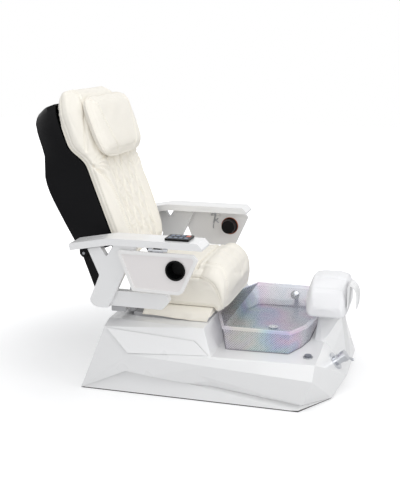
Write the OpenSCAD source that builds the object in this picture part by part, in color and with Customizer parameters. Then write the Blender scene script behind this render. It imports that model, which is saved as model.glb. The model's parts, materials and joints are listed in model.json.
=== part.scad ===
// Pedicure spa chair: a reclining, sliding seat on a faceted foot-bath base.
// Axes: +X towards the foot bath, +Y to the sitter's left, +Z up. Millimetres.
// The origin is on the floor under the middle of the chair.

/* [Base] */
// Width of the base across its side ridges
base_w = 944; // [900:2:1000]
// Reach of the base behind the origin, at the floor
base_rear = 447; // [430:1:470]
// Reach of the nose in front of the origin
nose_x = 698; // [680:1:725]
// Width of the blunt front edge of the nose
nose_w = 330; // [240:2:400]
// Height of the blunt front edge of the nose
nose_h = 66; // [50:1:90]
// Height of the platform that carries the seat
platform_h = 305; // [290:1:325]
// Height of the deck at the top of the front slope
deck_h = 207; // [200:1:216]
// Where the front slope starts
deck_front_x = 593; // [575:1:610]
// Height of the side ridge at the front
ridge_h = 140; // [125:1:155]
// Height of the lower tray at its peak
tray_peak_h = 100; // [85:1:112]
// Depth of the recess round each side panel
panel_recess = 9; // [6:0.5:14]
// Thickness of each side panel
panel_t = 5; // [3:0.5:6]
// Floor thickness of the lower tray
tray_floor = 12; // [8:1:20]
// Wall of the shell on its top and its ends
shell_t = 18; // [14:1:20]

/* [Foot bath] */
// Length of the bowl at the rim
tub_len = 436; // [420:1:440]
// Width of the bowl at the rim
tub_w = 734; // [660:2:760]
// Height of the rim above the floor
rim_h = 310; // [290:1:330]
// Wall thickness of the bowl
tub_wall = 5; // [4:0.5:8]
// How far the walls lean in towards the bottom
tub_lean = 16; // [8:1:24]
// Width of the lip that is turned out along the rim
rim_lip = 8; // [5:1:12]
// Diameter of the drain
drain_d = 44; // [36:1:56]

/* [Footrest] */
// Diameter of the sliding post
post_d = 40; // [34:1:44]
// Length of the pad across the chair
foot_pad_l = 350; // [300:5:420]
// Length of the pad along the chair
foot_pad_w = 186; // [160:2:210]
// Thickness of the pad at its crown
foot_pad_h = 158; // [120:2:165]
// Gap between the column and the underside of the pad
foot_pad_rise = 23; // [20:1:32]
// Height of the ribbed wing on the front of the pad
wing_h = 106; // [80:2:112]

/* [Seat] */
// Width of the seat cushion
seat_w = 524; // [480:2:560]
// Height of the seat cushion at its crown, above its pan
seat_h = 194; // [170:1:215]
// Front of the cushion's rolled edge
seat_front_x = 172; // [160:1:185]
// Rear of the cushion
seat_rear_x = -262; // [-280:1:-250]
// Length of the black slide rails
rail_len = 346; // [330:2:350]
// Height of the slide rails
rail_h = 17; // [14:1:22]
// Thickness of the sliding frame
carriage_t = 20; // [16:1:26]

/* [Back] */
// Lean of the back from upright
back_angle = 20; // [12:0.5:26]
// Length of the back pad
back_pad_len = 800; // [740:5:840]
// Width of the back pad at the shoulders
back_pad_w = 520; // [480:2:560]
// Depth of the rear shell behind the pad
shell_depth = 222; // [180:1:225]
// Wall of the rear shell
shell_wall = 8; // [5:0.5:12]
// Height of the head pillow
pillow_h = 280; // [240:2:290]
// Width of the head pillow
pillow_w = 508; // [420:2:520]

/* [Arms] */
// Width across the outer edges of both armrests
arm_span = 934; // [914:2:944]
// Width of one armrest
arm_w = 122; // [105:1:132]
// Height of the armrest tops
arm_top_h = 691; // [665:1:715]
// Thickness of the armrests
arm_t = 31; // [24:1:36]
// Front end of the armrests
arm_front_x = 113; // [95:1:125]
// Thickness of the arm struts
strut_t = 35; // [28:1:40]
// Diameter of the arm pivot pins
arm_pin_d = 12; // [10:1:16]

/* [Trays] */
// Length of a tray along its hinge
tray_len = 352; // [320:2:370]
// Drop of a hanging tray
tray_drop = 177; // [160:1:190]
// Thickness of a tray
tray_t = 18; // [14:1:22]
// Width of the raised border of a tray
tray_border = 14; // [8:1:20]
// Diameter of the cup holder's mouth
cup_d = 80; // [70:1:88]
// Depth of the cup holder
cup_depth = 60; // [45:1:66]

/* [Controls] */
// Diameter of the round deck button
button_d = 30; // [24:1:34]
// Travel of the round deck button
button_travel = 4; // [2:0.5:6]
// Length of a key on the armrest pad
key_l = 17; // [12:1:19]
// Width of a key on the armrest pad
key_w = 24; // [16:1:27]
// Travel of a key
key_travel = 1.2; // [0.8:0.1:2]
// Diameter of the tap's wall plate
tap_plate_d = 80; // [66:1:90]
// Length of the tap's lever from its axis
lever_len = 84; // [70:1:92]

/* [Clearances] */
// Gap between pieces that lie against each other
seat_gap = 0.3; // [0.2:0.05:0.5]
// Radial running clearance of shafts and keys
run_gap = 0.1; // [0.05:0.05:0.1]

/* [Hidden] */
$fn = 48;

white = "#f1f1f1";
shadow_white = "#e6e4e3";
cream = "#efe9dc";
black = "#1b1b1d";
steel = "#c9ccd0";

// ---- shared shape helpers -------------------------------------------------

function unit(v) = v / norm(v);
function both(pts) = concat(pts, [for (p = pts) [p[0], -p[1], p[2]]]);
function mix(a, b, k) = a + (b - a) * k;
// Smooth step from 0 to 1.
function ease(k) = let (c = max(0, min(1, k))) c * c * (3 - 2 * c);

// The corner b of a path a-b-c, rounded to radius r with n steps.
function fillet(a, b, c, r, n) =
    let (u = unit(a - b), w = unit(c - b), half = acos(u * w) / 2,
         m = b + unit(u + w) * r / sin(half),
         p = b + u * r / tan(half), q = b + w * r / tan(half),
         a0 = atan2(p[1] - m[1], p[0] - m[0]), a1 = atan2(q[1] - m[1], q[0] - m[0]),
         turn = (a1 - a0 + 540) % 360 - 180)
    [for (i = [0 : n]) m + r * [cos(a0 + turn * i / n), sin(a0 + turn * i / n)]];
// A closed outline with every corner rounded.
function rounded(pts, r, n = 4) = let (k = len(pts))
    [for (i = [0 : k - 1]) each fillet(pts[(i + k - 1) % k], pts[i], pts[(i + 1) % k], r, n)];
// A convex outline drawn in by d.
function inset(pts, d) = let (k = len(pts))
    [for (i = [0 : k - 1])
        let (b = pts[i], u = unit(pts[(i + k - 1) % k] - b), w = unit(pts[(i + 1) % k] - b))
        b + unit(u + w) * d / sin(acos(u * w) / 2)];

// The convex solid round a list of points.
module convex(pts) {
    hull()
        polyhedron(points = pts, faces = [for (i = [0 : len(pts) - 3]) [i, i + 1, i + 2]]);
}

// A closed skin through equal rings of points, with flat ends.
module loft(rings) {
    n = len(rings);
    m = len(rings[0]);
    sides = [for (i = [0 : n - 2], j = [0 : m - 1])
        let (a = i * m + j, b = i * m + (j + 1) % m)
        each [[a, b, b + m], [a, b + m, a + m]]];
    polyhedron(points = [for (r = rings) each r],
        faces = concat(sides, [[for (j = [m - 1 : -1 : 0]) j]],
            [[for (j = [0 : m - 1]) (n - 1) * m + j]]));
}

// An X-Z outline made into a slab that ends at y and is t thick, towards the middle.
module slab(pts, y, t) {
    translate([0, y, 0])
        rotate([90, 0, 0])
            linear_extrude(t)
                polygon(pts);
}

// Shapes are drawn on the sitter's left and mirrored for the right.
module on_side(side) {
    if (side > 0)
        children();
    else
        mirror([0, 1, 0])
            children();
}

module rod_y(d, y0, y1, x, z) {
    translate([x, y0, z])
        rotate([-90, 0, 0])
            cylinder(h = y1 - y0, d = d);
}

// ---- base -------------------------------------------------------------------

half_w = base_w / 2;
sill_w = half_w - 12;
groove_w = half_w - 40;
foot_front_x = 530;
heel = [-base_rear, half_w, 0];
peak = [-235, groove_w, tray_peak_h];
chin = [nose_x - 49, 290, 3];
toe_x = 534;
toe = [toe_x, half_w - 32, mix(peak[2], chin[2], (toe_x - peak[0]) / (chin[0] - peak[0]))];
toe_floor = [foot_front_x, half_w, 0];
chin_floor = [nose_x - 50, 284, 0];
band_rear = [-220, sill_w, tray_peak_h + 44];
band_front = [546, sill_w, 30];
knee = [-221, half_w, 178];
ridge_front = [deck_front_x - 7, half_w, ridge_h];
corner_top = [-341, half_w - 32, platform_h - 19];
corner_low = [-350, half_w - 32, platform_h - 42];
lip_rear = [-342, 372, platform_h];
lip_front = [102, 400, platform_h];
shoulder = [77, half_w - 42, platform_h - 49];
step_foot = [149, half_w - 23, deck_h - 9];
deck_front = [deck_front_x, half_w - 22, deck_h];
nose = [nose_x, nose_w / 2, nose_h];

// The point of the line a-b at the given X.
function at_x(a, b, x) = mix(a, b, (x - a[0]) / (b[0] - a[0]));
// Height of the deck at X.
function deck_z(x) = at_x(step_foot, deck_front, x)[2];

// The tray spreads from a low peak under the seat to the floor at the heel and the nose.
module tray_form() {
    convex(both([heel, toe_floor, chin_floor, peak, toe, chin]));
}

module lower_base() {
    tray_wall = 70;
    color(white)
        difference() {
            tray_form();
            translate([-base_rear + tray_wall, -half_w + tray_wall, tray_floor])
                cube([base_rear + foot_front_x - 2 * tray_wall, 2 * (half_w - tray_wall), tray_peak_h]);
        }
}

// All that lies under the seam between the tray and the shell.
module tray_space() {
    translate([0, 0, seat_gap])
        slab([[heel[0] - 20, -60], [heel[0] - 20, -20 * peak[2] / (peak[0] - heel[0])],
            [peak[0], peak[2]], [chin[0] + 20, at_x(peak, chin, chin[0] + 20)[2]],
            [chin[0] + 20, -60]], half_w + 20, 2 * half_w + 40);
}

// The shell is two convex bodies: the platform, and the deck with the nose.
module shell_body() {
    convex(both([heel, peak, at_x(peak, toe, step_foot[0]), band_rear, knee,
        at_x(band_rear, band_front, step_foot[0]), at_x(knee, ridge_front, step_foot[0]),
        corner_low, corner_top, lip_rear, lip_front, shoulder, step_foot]));
    convex(both([peak, toe, chin, band_rear, knee, ridge_front, band_front, nose,
        step_foot, deck_front]));
}

// One box of the hollow under the shell, from the tray up to z.
module bay(x0, x1, half, z) {
    translate([x0, -half, -1])
        cube([x1 - x0, 2 * half, z + 1]);
}

// The hollow steps down from the platform to the deck and the nose.
bay_half_w = groove_w - 2 * shell_t;
bay_rear_x = -310;
bay_mid_x = lip_front[0] - shell_t;
bay_deck_x = 520;
bay_nose_x = deck_front_x + 15;

module service_bay() {
    bay(bay_rear_x, bay_mid_x, bay_half_w, platform_h - shell_t);
    bay(bay_mid_x - 1, bay_deck_x, bay_half_w, tub_floor_z - shell_t - 5);
    bay(bay_deck_x - 1, bay_nose_x, bay_half_w - 106, deck_h - 57);
}

column_top = platform_h - 4;
post_x = 602;
column_rear_x = post_x - 52;
column_front_x = post_x + 48;

module column_body() {
    convex(both([[column_rear_x, 52, column_top], [column_front_x, 52, column_top],
        [column_rear_x - 6, 62, column_top - 34], [column_front_x + 8, 60, column_top - 40],
        [column_rear_x - 4, 150, deck_z(column_rear_x) - 8], [post_x - 22, 160, deck_h - 8],
        [post_x + 26, 130, 150], [nose_x - 10, 60, nose_h + 8], [nose_x - 60, 60, nose_h]]));
}

// The four corners of a side panel: rear top, front top, front bottom, rear bottom.
panel_quad = [corner_top, shoulder, step_foot, knee];
panel_normal = unit(cross(knee - corner_top, shoulder - corner_top));
function quad_at(u, v) = mix(mix(panel_quad[0], panel_quad[1], u),
    mix(panel_quad[3], panel_quad[2], u), v);
function panel_ring(margin, lift) = let (u = margin / 420, v = margin / 150)
    [for (c = [[u, v * 0.6], [1 - u, v * 0.6], [1 - u, 1 - v], [u, 1 - v]])
        quad_at(c[0], c[1]) + panel_normal * lift];

panel_margin = 7;

module panel_pocket() {
    convex(concat(panel_ring(panel_margin, 12), panel_ring(panel_margin, -panel_recess)));
}

module side_panel(side) {
    color(white)
        on_side(side)
            convex(concat(panel_ring(panel_margin + 1, panel_t - panel_recess),
                panel_ring(panel_margin + 1, seat_gap - panel_recess)));
}

// The bowl's outline from the rear round the left to the front, at the rim.
tub_front_x = column_rear_x - 4;
tub_rear_x = tub_front_x - tub_len;
tub_half_w = tub_w / 2;
tub_floor_z = deck_z(150) - 3;
function tub_half_ring(d) = [[tub_rear_x + d, tub_half_w * 0.5 - d / 2],
    [tub_rear_x + 66 + d / 2, tub_half_w - d], [tub_front_x - 72 - d / 2, tub_half_w - d],
    [tub_front_x - 20 - d, tub_half_w * 0.7 - d / 2], [tub_front_x - d, tub_half_w * 0.4]];
function tub_ring(d, z) = both([for (p = tub_half_ring(d)) [p[0], p[1], z]]);
drain_x = 330;

module tub_form(d, z0, z1) {
    convex(concat(tub_ring(d + tub_lean, z0), tub_ring(d, z1)));
}

module tub() {
    color("#dfe6ee", 0.5)
        difference() {
            union() {
                tub_form(rim_lip, tub_floor_z + seat_gap, rim_h);
                convex(concat(tub_ring(0, rim_h - 13), tub_ring(0, rim_h)));
            }
            tub_form(rim_lip + tub_wall, tub_floor_z + seat_gap + tub_wall, rim_h + 1);
            translate([drain_x, 0, tub_floor_z - 5])
                cylinder(h = 30, d = drain_d - 8 + 2 * run_gap);
            at_spout()
                rod_y(spout_stem_d + 2 * run_gap, -60, 20, 0, 0);
        }
}

module tub_drain() {
    color(steel)
        difference() {
            union() {
                translate([drain_x, 0, tub_floor_z + seat_gap + tub_wall])
                    cylinder(h = 4, d = drain_d);
                translate([drain_x, 0, tub_floor_z - 50])
                    cylinder(h = 51 + tub_wall, d = drain_d - 8);
            }
            translate([drain_x, 0, tub_floor_z - 60])
                cylinder(h = 60, d = drain_d - 14);
            for (a = [0 : 45 : 315])
                translate([drain_x + 12 * cos(a), 12 * sin(a), tub_floor_z - 10])
                    cylinder(h = 40, d = 5, $fn = 16);
        }
}

pipe_d = 40;
pipe_end_x = -180;
pipe_z = tray_floor + pipe_d / 2 + 4;

module drain_pipe() {
    color("#d8d8d4") {
        difference() {
            translate([drain_x, 0, pipe_z])
                cylinder(h = tub_floor_z - 50 - seat_gap - pipe_z, d = pipe_d);
            translate([drain_x, 0, pipe_z + 20])
                cylinder(h = 200, d = drain_d - 14);
        }
        translate([drain_x, 0, pipe_z])
            sphere(d = pipe_d + 6);
        translate([pipe_end_x, 0, pipe_z])
            rotate([0, 90, 0])
                cylinder(h = drain_x - pipe_end_x, d = pipe_d);
        for (x = [pipe_end_x + 20, drain_x - 40])
            translate([x, -24, tray_floor + seat_gap])
                cube([28, 48, 8]);
    }
}

pump_x = -120;
pump_y = 180;
pump_d = 120;
pump_axis_z = tray_floor + 78;
outlet_x = pump_x;
outlet_y = pump_y - 85;
outlet_z = pump_axis_z + 92;

// Motor, finned end, volute with a foot and an upright outlet.
module bath_pump() {
    color("#3c4046") {
        rod_y(pump_d, pump_y - 60, pump_y + 90, pump_x, pump_axis_z);
        for (i = [0 : 5])
            rod_y(pump_d + 10, pump_y - 30 + 18 * i, pump_y - 24 + 18 * i, pump_x, pump_axis_z);
        rod_y(pump_d - 26, pump_y + 90, pump_y + 106, pump_x, pump_axis_z);
        rod_y(pump_d + 18, pump_y - 110, pump_y - 60, pump_x, pump_axis_z);
        translate([pump_x - 45, pump_y - 90, tray_floor + seat_gap])
            cube([90, 150, 24]);
        translate([outlet_x, outlet_y, pump_axis_z])
            cylinder(h = outlet_z - pump_axis_z, d = 32);
    }
}

supply_d = 20;
elbow_h = supply_d + 12;
passage_d = elbow_h + 4;

// Straight runs of pipe with a barrel fitting at each turn.
module pipe_run(pts) {
    for (i = [0 : len(pts) - 2])
        let (v = pts[i + 1] - pts[i])
            translate(pts[i])
                rotate([0, acos(v[2] / norm(v)), atan2(v[1], v[0])])
                    cylinder(h = norm(v), d = supply_d);
    for (i = [1 : len(pts) - 2])
        translate(pts[i] - [0, 0, elbow_h / 2])
            cylinder(h = elbow_h, d = supply_d + 10);
}

spout_x = 372;
spout_z = 262;
spout_stem_d = 22;
flange_gap = 0.8;
spout_stem_l = 30;
wall_angle = atan2(tub_lean, rim_h - tub_floor_z);
spout_wall_y = tub_half_w - rim_lip - tub_lean * (rim_h - spout_z) / (rim_h - tub_floor_z);
feed_y = spout_wall_y + spout_stem_l + supply_d / 2 + 1;
feed_z = 150;

// On the outer face of the bowl's left wall, with +Y square out of it.
module at_spout() {
    translate([spout_x, spout_wall_y, spout_z])
        rotate([-wall_angle, 0, 0])
            children();
}

module supply_pipes() {
    color("#b9bcc2") {
        pipe_run([[outlet_x, outlet_y, outlet_z + seat_gap], [outlet_x, outlet_y, 220],
            [bay_mid_x - 52, outlet_y, 220], [bay_mid_x - 24, 140, feed_z], [spout_x, feed_y - 93, feed_z],
            [spout_x, feed_y, feed_z], [spout_x, feed_y, spout_z - 5]]);
        pipe_run([[pump_x + 100, -200, 60], [500, -200, 60], tap_end - 40 * slope_normal,
            tap_end - seat_gap * slope_normal]);
    }
}

module fill_spout() {
    color(steel)
        at_spout()
            difference() {
                union() {
                    // Flange inside, stem through the wall, nut outside and a nozzle with a round end.
                    rod_y(44, -tub_wall - 8, -tub_wall - flange_gap, 0, 0);
                    rod_y(spout_stem_d, -tub_wall - 8, spout_stem_l, 0, 0);
                    rod_y(36, seat_gap, 9, 0, 0);
                    rod_y(28, -tub_wall - 40, -tub_wall - 8, 0, 0);
                    rod_y(20, -tub_wall - 46, -tub_wall - 8, 0, 0);
                }
                rod_y(12, -80, spout_stem_l + 1, 0, 0);
            }
}

// ---- deck controls ----------------------------------------------------------------

button_x = 551;
button_y = -tub_w / 2;
bezel_d = button_d + 12;
button_z = deck_z(button_x);
deck_angle = atan2(deck_front[2] - step_foot[2], deck_front[0] - step_foot[0]);

// On the deck at the button, square to it.
module on_deck() {
    translate([button_x, button_y, button_z])
        rotate([0, -deck_angle, 0])
            children();
}

cup_l = 30;

module button_bezel() {
    color(steel)
        on_deck()
            difference() {
                union() {
                    translate([0, 0, -cup_l])
                        cylinder(h = cup_l + 1, d = button_d + 6);
                    translate([0, 0, seat_gap])
                        cylinder(h = 5, d = bezel_d);
                }
                translate([0, 0, 6 - cup_l])
                    cylinder(h = 60, d = button_d + 2 * run_gap);
            }
}

module air_button() {
    color("#dfe1e3")
        on_deck()
            translate([0, 0, 7 - cup_l + button_travel])
                cylinder(h = cup_l + 2, d = button_d);
}

// The tap stands square to the front slope.
slope_run = nose_x - deck_front_x;
slope_drop = deck_h - nose_h;
slope_angle = atan2(slope_drop, slope_run);
tap_x = 645;
tap_y = -197;
tap_z = deck_h - (tap_x - deck_front_x) * slope_drop / slope_run;
shank_l = 46;
slope_normal = [sin(slope_angle), 0, cos(slope_angle)];
tap_end = [tap_x, tap_y, tap_z] - shank_l * slope_normal;

module on_slope() {
    translate([tap_x, tap_y, tap_z])
        rotate([0, slope_angle, 0])
            children();
}

module tap_body() {
    color(steel)
        on_slope() {
            difference() {
                union() {
                    translate([0, 0, seat_gap])
                        cylinder(h = 7, d = tap_plate_d);
                    cylinder(h = 40, d = 44);
                    translate([0, 0, -shank_l])
                        cylinder(h = shank_l + 1, d = 28);
                }
                translate([0, 0, -shank_l - 1])
                    cylinder(h = 30, d = 18);
            }
            cylinder(h = 52, d = 20);
        }
}

lever_turn = 54;

module tap_lever() {
    color(steel)
        on_slope()
            difference() {
                union() {
                    translate([0, 0, 40 + seat_gap])
                        cylinder(h = 20, d = 50);
                    rotate([0, 0, lever_turn])
                        translate([0, 0, 40 + seat_gap + 10])
                            rotate([0, 90, 0])
                                cylinder(h = lever_len, d = 11);
                    rotate([0, 0, lever_turn])
                        translate([lever_len, 0, 40 + seat_gap + 10])
                            sphere(d = 15);
                }
                translate([0, 0, 39])
                    cylinder(h = 13.6, d = 20 + 2 * run_gap);
            }
}

post_len = 210;
post_bore_depth = post_len + 10;
sleeve_d = post_d + 24;

module base_shell() {
    color(white)
        difference() {
            union() {
                difference() {
                    union() {
                        shell_body();
                        column_body();
                    }
                    service_bay();
                    tray_space();
                }
                // Sleeve that guides the footrest's post.
                translate([post_x, 0, column_top - post_bore_depth - 8])
                    cylinder(h = post_bore_depth - 60, d = sleeve_d);
            }
            for (side = [-1, 1])
                on_side(side)
                    panel_pocket();
            // Seat of the bowl, sunk into the deck.
            tub_form(rim_lip - 1, tub_floor_z, rim_h);
            translate([drain_x, 0, 100])
                cylinder(h = 150, d = drain_d - 6);
            translate([post_x, 0, column_top - post_bore_depth])
                cylinder(h = post_bore_depth + 20, d = post_d + 2 * run_gap);
            // Passage for the filling pipe, along the floor of the bowl and up its wall.
            rod_y(passage_d, feed_y - 110, feed_y + passage_d / 2, spout_x, feed_z);
            translate([spout_x, feed_y, feed_z - passage_d / 2])
                cylinder(h = 140, d = passage_d);
            on_deck()
                translate([0, 0, -60])
                    cylinder(h = 80, d = button_d + 6 + 2 * run_gap);
            on_slope()
                translate([0, 0, -60])
                    cylinder(h = 80, d = 28 + 2 * run_gap);
        }
}

// ---- footrest -------------------------------------------------------------------

head_z = column_top + seat_gap;
head_t = 8;
head_low = foot_pad_rise - head_t;

module footrest_post() {
    color(steel)
        difference() {
            translate([post_x, 0, column_top - post_len])
                cylinder(h = post_len + seat_gap + foot_pad_rise - 1, d = post_d);
            translate([post_x, 0, column_top - post_len - 1])
                cylinder(h = post_len - 30, d = post_d - 6);
        }
}

// Swivelling head: a collar round the post and the plate that carries the pad.
module footrest_head() {
    color(black)
        translate([post_x, 0, head_z])
            difference() {
                union() {
                    cylinder(h = head_low + 1, d = post_d + 40);
                    translate([-60, -90, head_low])
                        cube([120, 180, head_t]);
                }
                translate([0, 0, -1])
                    cylinder(h = foot_pad_rise + 2, d = post_d + 2 * run_gap);
            }
}

pad_z = head_z + foot_pad_rise + seat_gap;
pad_x = post_x - 12;

// Side profile of the footrest pad: n points round a soft trapezoid, w long and h high.
function pad_profile(w, h) = rounded([[-w / 2, 0], [w / 2, 0], [w / 2 - 4, h * 0.62],
    [w / 2 - 14, h], [-w / 2 + 22, h], [-w / 2 + 2, h * 0.4]], 14, 3);

// The pad arches across the chair, with a seam either side of its middle.
module footrest_pad() {
    steps = 24;
    color(white)
        translate([pad_x, 0, pad_z])
            loft([for (i = [0 : steps])
                let (k = 1 - 2 * i / steps, y = k * foot_pad_l / 2,
                     end = 1 - pow(abs(k), 8),
                     w = foot_pad_w * (0.8 + 0.2 * end),
                     seam = min(abs(abs(y) - foot_pad_l * 0.17), 14) / 14,
                     h = (foot_pad_h - 60 * k * k) * (0.5 + 0.5 * end) - 5 * (1 - seam))
                [for (p = pad_profile(w, h)) [p[0], y, p[1]]]]);
}

wing_ribs = 5;
wing_pitch = 22;
wing_w = 45;
wing_t = 5;
wing_y = -foot_pad_l / 2 + 24;
wing_x = pad_x + foot_pad_w / 2 - 1.6;
wing_z = pad_z + 43;
wing_bend = 44;

// Side profile of the wing: a strip on the pad's front, and a blade that arches out and down.
function wing_arc(rx, rz, from, to) =
    [for (i = [0 : 6]) let (a = mix(from, to, i / 6)) [8 + rx * cos(a), wing_bend + rz * sin(a)]];
function wing_profile(t) = concat([[0, 0], [0, wing_h - 10]],
    wing_arc(wing_w - 8 + t, wing_h - wing_bend + t, 90, 0), [[wing_w - 2 + t, 4], [wing_w - 6, 0]],
    wing_arc(wing_w - 8 - wing_t, wing_h - wing_bend - wing_t, 0, 84), [[wing_t, 0]]);

module footrest_wing() {
    color(white)
        translate([wing_x, 0, wing_z]) {
            slab(wing_profile(0), wing_y + wing_ribs * wing_pitch, wing_ribs * wing_pitch);
            for (i = [0 : wing_ribs - 1])
                slab(wing_profile(2.5), wing_y + i * wing_pitch + 12, 10);
        }
}

// ---- sliding frame and seat ------------------------------------------------------

rail_rear_x = -248;
rail_half_w = seat_w / 2 + 48;
rail_w = 110;
runner_y = rail_half_w - rail_w + 4;
runner_w = 44;
groove_half = 10;
frame_z = platform_h + rail_h + 2 * seat_gap;
frame_top = frame_z + carriage_t;

module seat_rails() {
    color(black)
        for (side = [-1, 1])
            on_side(side)
                translate([rail_rear_x, rail_half_w - rail_w, platform_h + seat_gap])
                    difference() {
                        cube([rail_len, rail_w, rail_h]);
                        translate([-1, 4 + runner_w / 2 - groove_half, 7])
                            cube([rail_len + 2, 2 * groove_half, rail_h]);
                    }
}

cross_x = -312;
cross_w = 66;
beam_h = 22;
beam_y = seat_w / 2 + 12;
post_w = 30;
riser_y = arm_span / 2 - 12 - strut_t;
bar_t = 34;
bar_z = frame_top + 34;
tongue_l = 210;

module carriage_frame() {
    color(black) {
        // Two runners on the rails, each with a tongue in its rail's groove.
        for (side = [-1, 1])
            on_side(side) {
                translate([cross_x, runner_y, frame_z])
                    cube([rail_rear_x + rail_len - cross_x, runner_w, carriage_t]);
                translate([rail_rear_x + 30, runner_y + runner_w / 2 - groove_half + 1,
                    platform_h + 8 + seat_gap])
                    cube([tongue_l, 2 * groove_half - 2, frame_z - platform_h - 7]);
                // A post behind the cushion, and a beam that reaches out under the lower bar.
                translate([cross_x, beam_y, frame_z])
                    cube([cross_w, post_w, bar_z - seat_gap - frame_z]);
                translate([cross_x, beam_y, bar_z - beam_h])
                    cube([cross_w, riser_y - beam_y, beam_h - seat_gap]);
            }
        // Cross members between the runners.
        for (x = [-136, -36, rail_rear_x + rail_len - 34])
            translate([x, -runner_y - 5, frame_z])
                cube([34, 2 * runner_y + 10, carriage_t]);
        translate([cross_x, -beam_y - post_w, frame_z])
            cube([cross_w, 2 * (beam_y + post_w), carriage_t]);
    }
}

pan_t = 10;
pan_half_w = seat_w / 2 - 34;
cushion_z = frame_top + pan_t + 2 * seat_gap;

module seat_pan() {
    color(black)
        translate([seat_rear_x + 6, -pan_half_w, frame_top + seat_gap])
            cube([seat_front_x - seat_rear_x - 80, 2 * pan_half_w, pan_t]);
}

roll_drop = 18;

// Side profile of the seat cushion, drawn in from its top and front by d.
function seat_profile(d) = let (z = cushion_z, top = cushion_z + seat_h - d,
    front = seat_front_x - d * 0.3, rear = seat_rear_x)
    concat([[rear, z], [seat_front_x - 62, z], [seat_front_x - 50, z - roll_drop + 2],
        [seat_front_x - 34, z - roll_drop], [front - 8, z - roll_drop + 22]],
        [for (a = [-10 : 20 : 90]) [front - 74 + 74 * cos(a), top - 92 + 92 * sin(a) - 6]],
        [[front - 102, top - 12], [front - 116, top - 24], [front - 132, top - 18],
         [front - 190, top - 20], [rear + 120, top - 26], [rear + 24, top - 34], [rear, top - 58]]);

module seat_cushion() {
    steps = 28;
    half = seat_w / 2;
    color(cream)
        loft([for (i = [0 : steps])
            let (k = 1 - 2 * i / steps, edge = pow(abs(k), 7),
                 crown = 10 * k * k,
                 channel = 5 * pow(abs(cos(k * 540)), 12) * ease(1.6 - 2 * abs(k)))
            [for (p = seat_profile(crown + channel + 46 * edge)) [p[0], k * half, p[1]]]]);
}

skirt_t = 6;
skirt_flare = 40;
function skirt_ring(d, x1, z) = both([[seat_rear_x + 46, seat_w / 2 - 8 + d, z],
    [x1 - 12, seat_w / 2 - 8 + d, z], [x1, seat_w / 2 - 26 + d, z]]);

module seat_skirt() {
    skirt_low = platform_h + rail_h + 4;
    color(cream)
        difference() {
            convex(concat(skirt_ring(0, seat_front_x - 66, cushion_z - seat_gap),
                skirt_ring(skirt_flare, seat_front_x - 66, skirt_low)));
            convex(concat(skirt_ring(-skirt_t, seat_front_x - 66 - skirt_t, cushion_z),
                skirt_ring(skirt_flare - skirt_t, seat_front_x - 66 - skirt_t, skirt_low - 2)));
            translate([seat_rear_x, -seat_w, skirt_low - 1])
                cube([56, 2 * seat_w, 200]);
        }
}

// ---- arms -------------------------------------------------------------------------

arm_half = arm_span / 2;
arm_low = arm_top_h - arm_t;
arm_bend_x = -300;
arm_rear_x = -481;
arm_fall = 34;
strut_outer = arm_half - 12;
strut_inner = strut_outer - strut_t;
pivot_x = -445;
pivot_z = arm_low - 60;
upright_t = 14;
upright_outer = strut_inner - bar_t - 2 * seat_gap;

module armrest(side) {
    color(white)
        on_side(side)
            difference() {
                union() {
                    slab([[arm_front_x - 20, arm_top_h], [arm_front_x, arm_top_h - 22],
                        [arm_front_x, arm_low], [arm_bend_x, arm_low],
                        [arm_rear_x, arm_low - arm_fall], [arm_rear_x - 2, arm_top_h - arm_fall],
                        [arm_bend_x, arm_top_h]], arm_half, arm_w);
                    // Two cheeks that hang from the armrest and straddle the upright.
                    for (y = [upright_outer + seat_gap + 12, upright_outer - upright_t - seat_gap])
                        slab([[pivot_x - 20, arm_low - 22], [pivot_x - 20, pivot_z - 4],
                            [pivot_x - 8, pivot_z - 18], [pivot_x + 8, pivot_z - 18],
                            [pivot_x + 20, pivot_z - 4], [pivot_x + 34, arm_low - 14]], y, 12);
                }
                rod_y(arm_pin_d + 2 * run_gap, 0, arm_half - 30, pivot_x, pivot_z);
                translate([0, arm_half - 9, arm_low - 1])
                    translate([hinge_x - hinge_len / 2 - 1, 0, 0])
                        cube([hinge_len + 2, 10, 3]);
            }
}

module arm_pin(side) {
    color(steel)
        on_side(side)
            difference() {
                rod_y(arm_pin_d, upright_outer - upright_t - seat_gap - 15,
                    upright_outer + seat_gap + 15, pivot_x, pivot_z);
                translate([pivot_x, upright_outer - 60, pivot_z])
                    rotate([-90, 0, 0])
                        cylinder(h = 40, d = 3, $fn = 16);
            }
}

module strut(side) {
    top = arm_low - seat_gap;
    foot = bar_z - 1;
    color(shadow_white)
        on_side(side)
            slab(concat([[-175, top], [-283, top], [-317, top - 52], [-343, top - 9],
                [-404, top - 22], [-352, foot + 146], [-399, foot + 34]],
                [for (a = [200 : 25 : 275]) [-352 + 44 * cos(a), foot + 30 + 30 * sin(a)]],
                [[-314, foot + 2]]), strut_outer, strut_t);
}

module lower_bar(side) {
    color(white)
        on_side(side)
            slab(rounded([[-372, bar_z], [-78, bar_z], [-44, bar_z + 40], [-54, bar_z + 72],
                [-372, bar_z + 72]], 20), strut_inner - seat_gap, bar_t);
}

module upright(side) {
    color(black)
        on_side(side)
            difference() {
                slab(rounded([[-370, bar_z + 6], [-322, bar_z + 6],
                    [-352, bar_z + 60], [pivot_x + 18, pivot_z + 4], [pivot_x, pivot_z + 16],
                    [pivot_x - 18, pivot_z + 4], [-404, bar_z + 70]], 4),
                    upright_outer, upright_t);
                rod_y(arm_pin_d + 2 * run_gap, 0, arm_half - 30, pivot_x, pivot_z);
            }
}

// ---- trays ------------------------------------------------------------------------

tray_outer = arm_half + 11;
tray_front_x = 98;
tray_top = arm_low - 16;
hinge_x = -78;
hinge_len = 84;
hinge_y = arm_half + 1;
hinge_z = arm_low - 8;
cup_x = 1;
cup_z = tray_top - tray_drop * 0.4;

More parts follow.
